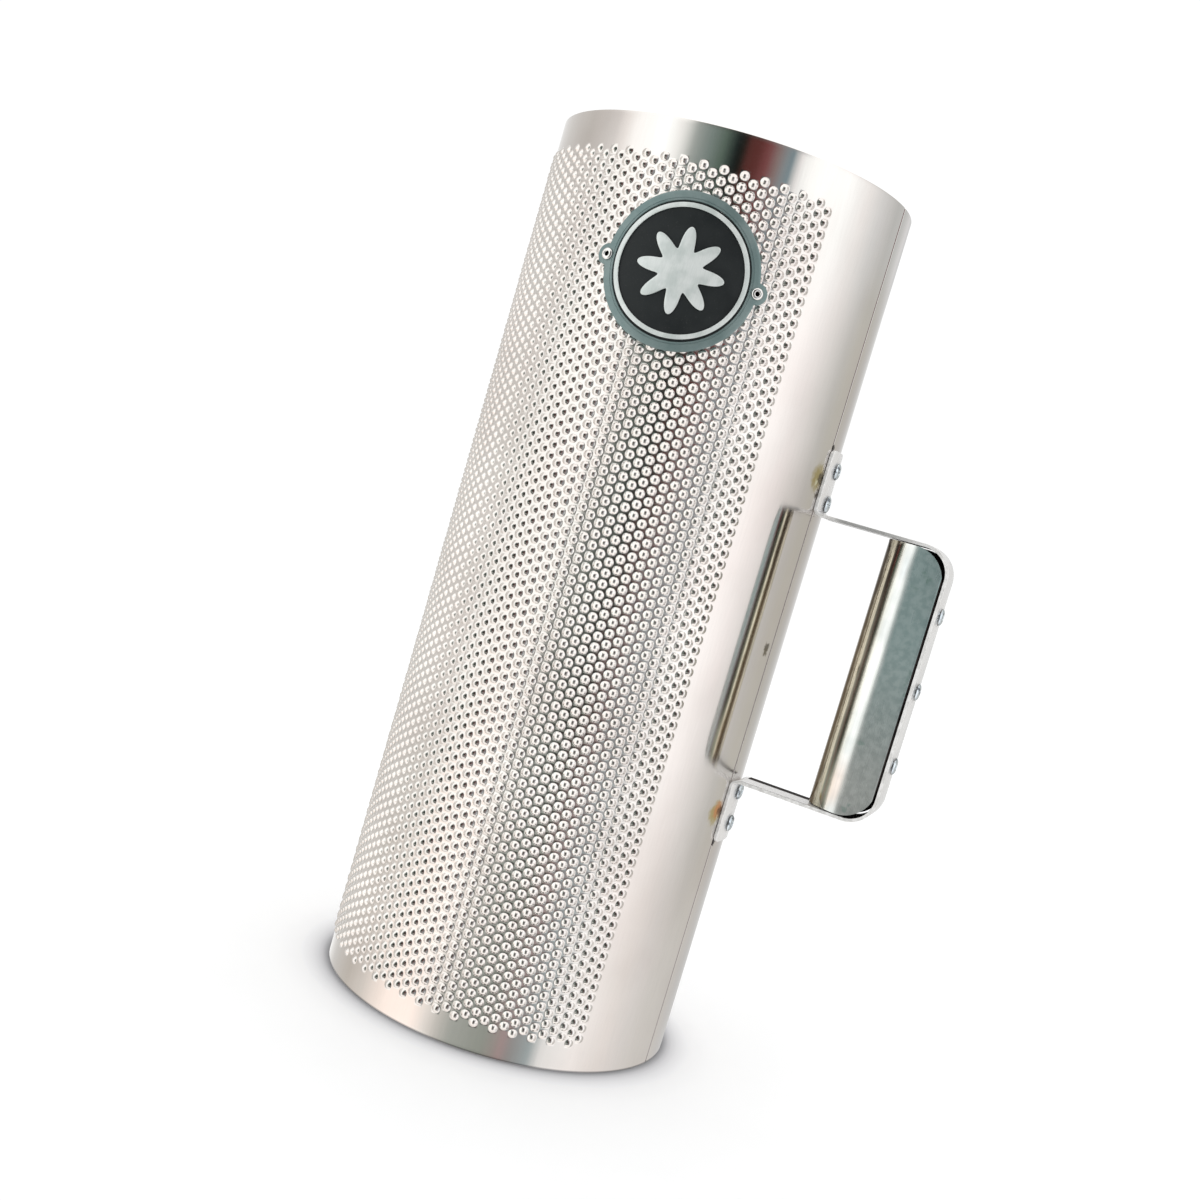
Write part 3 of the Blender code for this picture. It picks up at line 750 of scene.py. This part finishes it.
def strap_stations():
    """Points along the strap's middle, and the distance of each to the nearer free end."""
    half = STRAP_THICK / 2
    foot_x = FOOT_FACE - half
    run_x = STRAP_REACH - half
    upper, lower = STRAP_TOP - half, STRAP_BOTTOM + half
    ends = [0.0, 0.00008, 0.0003] + [FOOT_CORNER * (1 - math.cos(math.radians(15 * i))) for i in range(3, 7)]
    ends += [0.006, 0.012]
    top, bottom = STRAP_TOP + FOOT_LENGTH, STRAP_BOTTOM - FOOT_LENGTH
    line = [(foot_x, top - s) for s in ends]
    line += arc((foot_x + FOOT_BEND, upper + FOOT_BEND), FOOT_BEND, 180, 270, 10)
    line += arc((run_x - HAND_BEND, upper - HAND_BEND), HAND_BEND, 90, 0, 20)
    line += arc((run_x - HAND_BEND, lower + HAND_BEND), HAND_BEND, 0, -90, 20)
    line += arc((foot_x + FOOT_BEND, lower - FOOT_BEND), FOOT_BEND, 90, 180, 10)
    line += [(foot_x, bottom + s) for s in ends[::-1]]
    return line, [min(top - z, z - bottom) for x, z in line]


def strap_half_width(from_end):
    if from_end >= FOOT_CORNER:
        return STRAP_WIDTH / 2
    return STRAP_WIDTH / 2 - FOOT_CORNER + math.sqrt(FOOT_CORNER ** 2 - (FOOT_CORNER - from_end) ** 2)


def strap_section(half_width, half_thick, corner, lean):
    """Rounded section: (across, outwards) points. Sheared edges lean in towards the inner face."""
    points = []
    outer, inner = (0.8, 0.5, 0.25, 0.0, -0.25, -0.5, -0.8), (-0.8, -0.55, -0.3, 0.0, 0.3, 0.55, 0.8)
    corners = ((1, 1, 0, outer), (-1, 1, 90, ()), (-1, -1, 180, inner), (1, -1, 270, ()))
    for across, out, start, side in corners:
        radius = corner if out > 0 else corner * 0.8
        wide = half_width if out > 0 else half_width - lean
        centre = (across * (wide - radius), out * (half_thick - radius))
        points += arc(centre, radius, start, start + 90, 5)
        points += [(half_width * part, out * half_thick) for part in side]
    return points


def make_strap():
    line, from_end = strap_stations()
    along = np.gradient(np.array(line), axis=0)
    along /= np.linalg.norm(along, axis=1, keepdims=True)
    points = []
    for (x, z), (dx, dz), away in zip(line, along, from_end):
        thin = 0.0002 * (1 - math.sqrt(max(0.0, 1 - (1 - min(away / END_ROUND, 1.0)) ** 2)))
        on_foot = max(0.0, 1 - (x - line[0][0]) / FOOT_BEND)
        section = strap_section(strap_half_width(away), STRAP_THICK / 2 - thin, STRAP_EDGE - thin / 2,
                                EDGE_LEAN * (1 - on_foot))
        for across, out in section:
            press = FOOT_PRESS * on_foot * (FOOT_FACE - math.sqrt(FOOT_FACE ** 2 - across ** 2))
            points.append((x - dz * out - press, across, z + dx * out))
    size = len(section)
    faces = [(a, d, c, b) for a, b, c, d in grid_faces(len(line), size, wrap_rows=True)]
    faces += [tuple(range(size)), tuple(range(len(points) - size, len(points)))[::-1]]
    mesh = outwards(new_mesh("handle_strap_bent", points, faces))
    mesh = cut_holes(mesh, FOOT_LEVELS, FOOT_FACE, 0.004)
    mesh = cut_holes(mesh, GRIP_LEVELS, STRAP_REACH, 0.004)
    add_piece("handle_strap_bent", mesh, strap_metal(), ["handle_strap"])
    mesh.materials.append(painted_shade_inside())
    mesh.materials.append(sheared_edge())
    foot = AXIS_X + FOOT_FACE + FOOT_BEND
    bend = AXIS_X + STRAP_REACH - HAND_BEND - 0.003
    # Painted shade: the inner faces round the grip's end, along the far side and along the near edge of the
    # arms get the near-black material
    for face in mesh.polygons:
        x, y, z = face.center
        inner_side = Vector((x - bend, 0.0, (z - MIDDLE) * 0.3)).dot(face.normal) < 0
        far_strip = x > foot and y > AXIS_Y + STRAP_WIDTH * 0.12
        near_edge = foot < x < bend and y < AXIS_Y - STRAP_WIDTH / 2 + 0.0006
        if abs(face.normal.y) > 0.6:
            face.material_index = 2
        elif inner_side and (x > bend or far_strip or near_edge):
            face.material_index = 1


# The grip, a rolled sheet in the shape of a D

def grip_outline():
    half = STRAP_WIDTH / 2
    nose_end = GRIP_FRONT + GRIP_NOSE
    nose = []
    for i in range(25):
        turn = math.radians(3.75 * i)
        back = GRIP_NOSE * math.cos(turn) ** NOSE_POWER
        nose.append((nose_end - back, half * math.sin(turn) ** NOSE_POWER))
    corner_x = GRIP_BACK - GRIP_CORNER
    flat = [(GRIP_BACK - GRIP_ARC + GRIP_ARC * math.sin(math.radians(6 * i)), half) for i in range(15)]
    flat = [point for point in flat if nose_end + 0.0001 < point[0] < corner_x - GRIP_CORNER / 6]
    side = nose + flat + arc((corner_x, half - GRIP_CORNER), GRIP_CORNER, 90, 0, 8)
    near = [(x, -y) for x, y in side[::-1]]
    return [(GRIP_BACK, GRIP_SLIT[0])] + near + side[1:] + [(GRIP_BACK, GRIP_SLIT[1])]


def grip_end_height(x, y):
    full = (GRIP_TOP - GRIP_BOTTOM) / 2
    cut = GRIP_ARC if y < 0 else FAR_ARC
    beyond = max(x - (GRIP_BACK - cut), 0.0)
    return full - cut + math.sqrt(max(cut ** 2 - beyond ** 2, 0.0))


def make_grip():
    outline = grip_outline()
    centre = (GRIP_TOP + GRIP_BOTTOM) / 2
    points = []
    for x, y in outline:
        half = grip_end_height(x, y)
        points += [(x, y, centre + half * part) for part in (1.0, 0.5, 0.0, -0.5, -1.0)]
    faces = [face[::-1] for face in grid_faces(len(outline), 5)]
    item = new_object("grip_draft", new_mesh("grip_rolled", points, faces))
    modify(item, "SOLIDIFY", thickness=SHEET, offset=-1.0, use_even_offset=True)
    modify(item, "BEVEL", width=0.00016, segments=2, limit_method="ANGLE", angle_limit=math.radians(50))
    mesh = cut_holes(after_modifiers(item, "grip_rolled"), GRIP_LEVELS, GRIP_BACK, 0.003)
    add_piece("grip_rolled", mesh, grip_metal(), ["grip_shell"])
    mesh.materials.append(painted_shade_inside())
    middle = Vector((AXIS_X + (GRIP_FRONT + GRIP_BACK) / 2, AXIS_Y, 0.0))
    # Painted shade: the inner faces and a strip along the back edge of the near side get the near-black
    # material
    for face in mesh.polygons:
        away = face.center - middle
        away.z = 0.0
        behind = away.y < 0 and away.x > (GRIP_BACK - GRIP_FRONT) / 2 - 0.0006
        if away.normalized().dot(face.normal) < -0.3 or behind:
            face.material_index = 1


# Blind rivets

CROWN_START = RIVET_BORE + 0.00022   # radius where the bore's edge meets the crown
CROWN_END = HEAD_RADIUS - 0.00012


def rivet_outline():
    """Closed outline, as (radius, height): head, shank, tail and bore."""
    crown = []
    for part in np.linspace(0.0, 1.0, 9):
        height = 0.99 * HEAD_HEIGHT * math.sqrt(1 - (0.93 * part ** 1.35) ** 2) + 0.00001
        crown.append((CROWN_START + (CROWN_END - CROWN_START) * part, height))
    rim = HEAD_RADIUS
    edge = [(rim - 0.00003, HEAD_HEIGHT * 0.26), (rim, HEAD_HEIGHT * 0.14), (rim - 0.00004, 0.00004),
            (rim - 0.0001, 0.0)]
    swell = -RIVET_STACK - GAP
    tail = [(RIVET_SHANK, 0.0), (RIVET_SHANK, swell + 0.0001), (0.00215, swell - 0.0003),
            (0.0024, swell - 0.0009), (0.0023, swell - 0.0016), (0.0019, swell - 0.0023),
            (0.0016, swell - 0.0026)]
    bore = [(RIVET_BORE, swell - 0.0026), (RIVET_BORE, HEAD_HEIGHT - 0.0003),
            (RIVET_BORE + 0.00008, HEAD_HEIGHT - 0.0001)]
    return crown + edge + tail + bore


def mandrel_outline():
    """(radius, height) from the broken tip of the stem to the ball behind the tail."""
    stem = 0.00086
    ball = 0.0014
    centre = -RIVET_STACK - 0.0043
    tip = HEAD_HEIGHT - 0.00045
    top = [(0.00012, tip - 0.00012), (0.0004, tip), (stem - 0.0001, tip - 0.00004), (stem, tip - 0.00016)]
    neck = math.degrees(math.acos(stem / ball))
    return top + arc((0, centre), ball, neck, -86, 12)


def place_radially(mesh, angle, radius, height):
    """Turns a mesh made along +Z to stand out of the tube there."""
    mesh.transform(Matrix.Translation(polar(angle, radius, height)) @ spin(angle, "Z") @ spin(90.0, "Y"))


def make_rivets(name, levels, face, surface, core_surface):
    for number, level in enumerate(levels, 1):
        body = lathe(f"{name}_{number}_set", rivet_outline(), 40)
        # A dark line of shadow under the head
        foot = [f.index for f in body.polygons
                if -0.0001 < f.center.z < 0.00022 and math.hypot(f.center.x, f.center.y) > HEAD_RADIUS * 0.8]
        place_radially(body, 0.0, face + GAP, level)
        add_piece(body.name, body, surface, [f"{name}_{number}"])
        body.materials.append(core_surface)
        for index in foot:
            body.polygons[index].material_index = 1
        core = lathe(f"{name}_{number}_stem", mandrel_outline(), 24)
        place_radially(core, 0.0, face + GAP, level)
        add_piece(core.name, core, core_surface, [f"{name}_mandrel_{number}"])


# The badge on the tube

RECESS = BADGE_RADIUS - BADGE_RIM + 0.0004
EAR_TURN = math.degrees(EAR_OFFSET / TUBE_RADIUS)
EARS = [BADGE_ANGLE - EAR_TURN, BADGE_ANGLE + EAR_TURN]


def on_tube(along, up, out):
    angle = BADGE_ANGLE + math.degrees(along / TUBE_RADIUS)
    return polar(angle, TUBE_RADIUS + GAP + out, BADGE_HEIGHT + up)


def coin(name, angles, rings, hollow=False):
    """A closed disc or ring lying on the tube: each ring is (radius at an angle, height), top to back."""
    count = len(angles)
    points = [on_tube(*polar(angle, radius_at(angle), out)) for radius_at, out in rings for angle in angles]
    grid = grid_faces(len(rings), count, wrap_columns=hollow, wrap_rows=True)
    faces = [(a, d, c, b) for a, b, c, d in grid]
    if not hollow:
        points.append(on_tube(0, 0, rings[0][1]))
        points.append(on_tube(0, 0, rings[-1][1]))
        last = (len(rings) - 1) * count
        faces += [(len(points) - 2, j, (j + 1) % count) for j in range(count)]
        faces += [(len(points) - 1, last + (j + 1) % count, last + j) for j in range(count)]
    return outwards(new_mesh(name, points, faces))


def circle(radius):
    return lambda angle: radius


def stepped(shape, *steps):
    """Rings that follow the shape at these offsets and levels."""
    return [(lambda angle, out=out: shape(angle) + out, level) for out, level in steps]


def scaled(shape, parts, level):
    """Rings of the same shape at parts of its size, all at one level."""
    return [(lambda angle, part=part: shape(angle) * part, level) for part in parts]


def ear_outline(angle):
    turn = math.radians(angle)
    side = EAR_OFFSET * abs(math.sin(turn))
    if side >= EAR_RADIUS:
        return BADGE_RADIUS
    reach = EAR_OFFSET * abs(math.cos(turn)) + math.sqrt(EAR_RADIUS ** 2 - side ** 2)
    return max(BADGE_RADIUS, reach)


def rosette(angle):
    return EMBLEM_RADIUS + EMBLEM_WAVE * math.cos(math.radians(EMBLEM_PETALS * angle))


def even_angles(count):
    return [360.0 * i / count for i in range(count)]


def plate_angles():
    """Closer together where the ears are."""
    near = [i * 0.5 for i in range(17)] + [8 + 82 * i / 26 for i in range(1, 27)]
    half = near + [180 - a for a in near[::-1][1:]]
    return half + [180 + a for a in half[1:-1]]


def make_plate():
    top = BADGE_PLATE
    rings = scaled(circle(RECESS), (0.25, 0.5, 0.75, 0.995), BADGE_FLOOR)
    # Up the recess's wall, over the inner lip and a pressed groove, and out to the rim
    rings += stepped(circle(RECESS), (0.0, BADGE_FLOOR + 0.00005), (0.00003, top - 0.00015),
                     (0.00012, top - 0.00003), (0.0002, top), (0.0005, top), (0.0006, top - 0.0002),
                     (0.0008, top - 0.0002), (0.0009, top - 0.00004))
    rings.append((circle(BADGE_RADIUS - 0.001), top - 0.00004))
    rings += stepped(ear_outline, (-0.0003, top - 0.00004), (-0.00009, top - 0.0001), (0.0, top - 0.0003),
                     (0.0, 0.00012), (-0.0001, 0.0))
    rings += scaled(circle(RECESS), (0.9, 0.6, 0.3), 0.0)
    rods = [(polar(angle, TUBE_RADIUS, BADGE_HEIGHT), polar(angle, 1.0, 0.0), EYELET_SHANK + GAP, 0.008)
            for angle in EARS]
    plate = drill(coin("badge_plate_pressed", plate_angles(), rings), rods)
    add_piece("badge_plate_pressed", plate, badge_rim_metal(), ["badge_plate"])


def make_enamel():
    low, high = ENAMEL_LAYER
    edge = RECESS - 0.00012
    rings = scaled(circle(ENAMEL_RADIUS), (0.25, 0.5, 0.75, 0.97), high)
    rings += stepped(circle(edge), (-0.00012, high - 0.00002), (0.0, high - 0.00012), (0.0, low))
    rings += scaled(circle(ENAMEL_RADIUS), (0.75, 0.5, 0.25), low)
    disc = smooth(coin("badge_enamel_disc", even_angles(120), rings))
    add_piece("badge_enamel_disc", disc, enamel(), ["badge_enamel"])


def make_relief():
    """The ring and the rosette, both with softened edges."""
    relief = relief_metal()
    low, high = RELIEF_LAYER
    inner, outer = RING_RADII
    edge = [(0.0, low), (0.0, high - 0.0001), (0.00005, high - 0.00003), (0.00018, high)]
    rings = stepped(circle(inner), *edge)
    rings += stepped(circle(outer), *((-out, level) for out, level in edge[::-1]))
    ring = smooth(coin("badge_ring_raised", even_angles(144), rings, hollow=True))
    add_piece("badge_ring_raised", ring, relief, ["badge_ring"])

    rings = scaled(rosette, (0.2, 0.4, 0.6, 0.8), high)
    rings += stepped(rosette, (-0.00025, high), (-0.00008, high - 0.00003), (0.0, high - 0.0001), (0.0, low))
    rings += scaled(rosette, (0.7, 0.4), low)
    flower = smooth(coin("badge_emblem_raised", even_angles(EMBLEM_PETALS * 32), rings))
    add_piece("badge_emblem_raised", flower, relief, ["badge_emblem"])


def make_eyelets():
    """Hollow rivets through the ears, with rolled heads and flared tails."""
    metal_face, bore_face = eyelet_metal(), dark_bore()
    under = -(BADGE_PLATE + SHEET + 3 * GAP)
    head = [(EYELET_BORE + 0.0001, 0.0004), (EYELET_BORE + 0.0002, 0.00054), (0.00105, 0.0006),
            (0.00135, 0.00058), (0.0016, 0.00048), (0.0018, 0.00032), (EYELET_HEAD, 0.00016),
            (EYELET_HEAD, 0.0)]
    shank = [(EYELET_SHANK, 0.0), (EYELET_SHANK, under), (0.0018, under - 0.0003), (0.0017, under - 0.0007)]
    bore = [(EYELET_BORE + 0.0002, under - 0.0007), (EYELET_BORE, under - 0.0003), (EYELET_BORE, 0.00028)]
    for number, angle in enumerate(EARS, 1):
        mesh = lathe(f"badge_eyelet_{number}_set", head + shank + bore, 32)
        width = [math.hypot(corner.co.x, corner.co.y) for corner in mesh.vertices]
        inside = [face.index for face in mesh.polygons
                  if max(width[v] for v in face.vertices) < EYELET_BORE + 0.00005]
        place_radially(mesh, angle, TUBE_RADIUS + GAP + BADGE_PLATE + GAP, BADGE_HEIGHT)
        add_piece(mesh.name, mesh, metal_face, [f"badge_eyelet_{number}"])
        mesh.materials.append(bore_face)
        for index in inside:
            mesh.polygons[index].material_index = 1


# Studio

FLOOR_RADIUS = 1.6
FLOOR_SIDES = 64
SHADOW_REACH = 0.02         # how far the shadow at the tube's foot spreads
SHADOW = (                   # the floor's tone at parts of that distance
    (0.0, (0.34, 0.34, 0.35)), (0.05, (0.46, 0.46, 0.48)), (0.125, (0.7, 0.7, 0.72)),
    (0.2, (0.83, 0.83, 0.85)), (0.3, (0.9, 0.9, 0.915)), (0.6, (0.95, 0.95, 0.955)), (1.0, grey(1.0)))

# The tent's tones by azimuth, in degrees to the right of the camera's side: each row is an angle with
# red, green and blue, or with one grey
TENT_HIGH = (                # level with the top rim
    (-180, 0.95), (-140, 0.7, 0.69, 0.67), (-112, 0.58, 0.56, 0.53), (-87, 0.7, 0.66, 0.64),
    (-79, 0.92, 0.87, 0.84), (-71, 1.2, 1.19, 1.17), (-50, 1.27, 1.32, 1.32), (-42, 0.97, 0.97, 0.95),
    (-37, 0.7, 0.72, 0.7), (-31, 0.38, 0.43, 0.41), (-22, 0.24, 0.31, 0.29), (-13, 0.12, 0.18, 0.145),
    (-9, 0.05, 0.08, 0.068), (-5, 0.006, 0.014, 0.014), (-1, 0.01, 0.009, 0.006), (3, 0.11, 0.028, 0.024),
    (9, 0.125, 0.022, 0.019), (15, 0.22, 0.05, 0.052), (21, 0.27, 0.19, 0.18), (26, 0.24, 0.29, 0.31),
    (29.5, 0.16, 0.26, 0.3), (32, 0.62, 0.65, 0.65), (35, 1.06, 1.03, 1.02), (38, 1.2, 1.22, 1.2),
    (72, 1.28, 1.33, 1.33), (90, 1.03, 1.02, 1.01), (104, 0.8, 0.81, 0.81), (124, 0.57, 0.585, 0.575),
    (140, 0.6, 0.61, 0.6), (154, 0.74), (168, 0.6), (180, 0.8))
TENT_MIDDLE = (
    (-180, 1.15), (-165, 1.24, 1.28, 1.3), (-154, 1.06, 1.08, 1.08), (-142, 0.7, 0.7, 0.69),
    (-112, 0.71, 0.69, 0.66), (-95, 0.84, 0.82, 0.79), (-82, 1.2, 1.21, 1.18), (-50, 1.32, 1.34, 1.32),
    (-41, 1.3, 1.31, 1.28), (-37, 1.08, 1.09, 1.05), (-32, 0.42, 0.43, 0.41), (-26, 0.2, 0.21, 0.195),
    (-13, 0.09, 0.1, 0.09), (-4, 0.04, 0.04, 0.036), (6, 0.1, 0.075, 0.07), (14, 0.21, 0.165, 0.16),
    (22, 0.27, 0.27, 0.275), (32, 0.34, 0.35, 0.36), (37, 0.58, 0.59, 0.6), (43, 1.1, 1.1, 1.09),
    (51, 1.3, 1.29, 1.29), (70, 1.15, 1.11, 1.1), (82, 0.98, 0.94, 0.93), (98, 0.76, 0.745, 0.725),
    (112, 0.58, 0.57, 0.545), (124, 0.55, 0.535, 0.485), (136, 0.53, 0.51, 0.465), (148, 0.56, 0.55, 0.53),
    (160, 0.68, 0.68, 0.67), (180, 0.95))
TENT_LOW = (                 # towards the ground
    (-180, 1.0), (-160, 0.98, 0.98, 0.97), (-140, 0.72, 0.71, 0.69), (-112, 0.61, 0.58, 0.53),
    (-95, 0.76, 0.72, 0.67), (-70, 1.26, 1.1, 1.01), (-50, 1.28, 1.13, 1.04), (-40, 0.94, 0.89, 0.84),
    (-30, 0.66, 0.65, 0.61), (-21, 0.46, 0.49, 0.455), (0, 0.37, 0.4, 0.36), (7, 0.39, 0.365, 0.34),
    (12, 0.44, 0.34, 0.335), (18, 0.34, 0.335, 0.33), (30, 0.38, 0.45, 0.46), (38, 0.9, 0.9, 0.89),
    (60, 1.02, 0.98, 0.96), (80, 0.87, 0.83, 0.8), (95, 0.78, 0.75, 0.73), (112, 0.7, 0.68, 0.65),
    (135, 0.65, 0.63, 0.6), (150, 0.61, 0.6, 0.59), (165, 0.62, 0.62, 0.61), (180, 0.85))
TENT_ROOF = (1.26, 1.23, 1.2)
TENT_GROUND = (1.14, 1.1, 1.06)
TENT_RADIUS = 12.0
TENT_HEIGHT = 0.15           # of its centre


def make_world():
    scene = bpy.context.scene
    scene.view_settings.view_transform = "Standard"
    scene.world = bpy.data.worlds.new("soft_white")
    scene.world.use_nodes = True
    sky = scene.world.node_tree.nodes["Background"]
    sky.inputs["Color"].default_value = (1, 1, 1, 1)
    sky.inputs["Strength"].default_value = 1.05


def make_floor():
    rim = [polar(360.0 * i / FLOOR_SIDES, FLOOR_RADIUS, 0.0) for i in range(FLOOR_SIDES)]
    faces = [(0, i + 1, (i + 1) % FLOOR_SIDES + 1) for i in range(FLOOR_SIDES)]
    floor = new_object("floor", new_mesh("floor", [(0, 0, 0)] + rim, faces))
    paint = Surface("pale_floor")
    paint.put("Roughness", 0.8)
    paint.put("Emission Color", grey(1.0))
    # The floor glows as a light table does, but for the shadow that hugs the tube's edge
    away = paint.distance((AXIS_X, AXIS_Y, 0.0))
    gap = paint.math("ABSOLUTE", paint.math("SUBTRACT", away, TUBE_RADIUS))
    paint.put("Emission Strength", paint.ease(gap, 0.002, 0.012, 0.0, 0.14))
    colour = paint.mix(paint.noise(40.0), (0.9, 0.905, 0.91), (0.93, 0.935, 0.94))
    # Painted shadow: a ramp darkens the floor's colour near the tube's foot
    shade = paint.ramp(paint.math("MULTIPLY", gap, 1 / SHADOW_REACH), SHADOW)
    paint.put("Base Color", paint.mix(1.0, colour, shade, "MULTIPLY"))
    floor.data.materials.append(paint.material)
    floor.visible_glossy = False


def tent_cloth():
    """A glowing cloth, its tone set by azimuth and elevation."""
    paint = Surface("tent_cloth")
    paint.tree.nodes.remove(paint.shader)
    x, y, z = paint.axes()
    # Positive to the camera's right, as a part of a turn centred on 0.5
    azimuth = paint.math("ARCTAN2", x, paint.math("MULTIPLY", y, -1.0))
    place = paint.math("MULTIPLY_ADD", azimuth, 1.0 / (2 * math.pi), 0.5)
    flat = paint.math("SQRT", paint.math("ADD", paint.math("MULTIPLY", x, x), paint.math("MULTIPLY", y, y)))
    elevation = paint.math("ARCTAN2", z, flat)
    ramps = []
    for rows in (TENT_HIGH, TENT_MIDDLE, TENT_LOW):
        stops = [(0.5 + angle / 360.0, tone if len(tone) == 3 else tone * 3) for angle, *tone in rows]
        ramps.append(paint.ramp(place, stops))
    high, middle, low = ramps
    cloth = low
    for start, end, tone in ((-0.34, -0.14, middle), (0.165, 0.2, high), (0.27, 0.35, middle),
                             (0.7, 0.92, TENT_ROOF)):
        cloth = paint.mix(paint.ease(elevation, start, end, 0.0, 1.0), cloth, tone)
    for start, end, tone in ((-0.54, -0.42, middle), (-0.95, -0.75, TENT_GROUND)):
        cloth = paint.mix(paint.ease(elevation, start, end, 1.0, 0.0), cloth, tone)
    light = paint.node("Emission", cloth)
    paint.tree.links.new(light.outputs["Emission"], paint.tree.nodes["Material Output"].inputs["Surface"])
    paint.material.cycles.emission_sampling = "NONE"
    return paint.material


def make_tent():
    """A tent of soft light and dark cards, seen only in reflections."""
    shape = bmesh.new()
    bmesh.ops.create_uvsphere(shape, u_segments=96, v_segments=48, radius=TENT_RADIUS)
    mesh = poured(shape, bpy.data.meshes.new("studio_tent"))
    mesh.materials.append(tent_cloth())
    tent = new_object("studio_tent", mesh)
    tent.location = (AXIS_X, AXIS_Y, TENT_HEIGHT)
    tent.rotation_euler.z = math.radians(CAMERA_TURN)
    for kind in ("camera", "diffuse", "shadow", "transmission", "volume_scatter"):
        setattr(tent, "visible_" + kind, False)


make_camera()
make_world()
make_floor()
make_tent()
make_tube()
make_strap()
make_grip()
RIVET, STEM = rivet_metal(), stem_metal()
make_rivets("foot_rivet", FOOT_LEVELS, FOOT_FACE, RIVET, STEM)
make_rivets("grip_rivet", GRIP_LEVELS, STRAP_REACH, RIVET, STEM)
make_plate()
make_enamel()
make_relief()
make_eyelets()
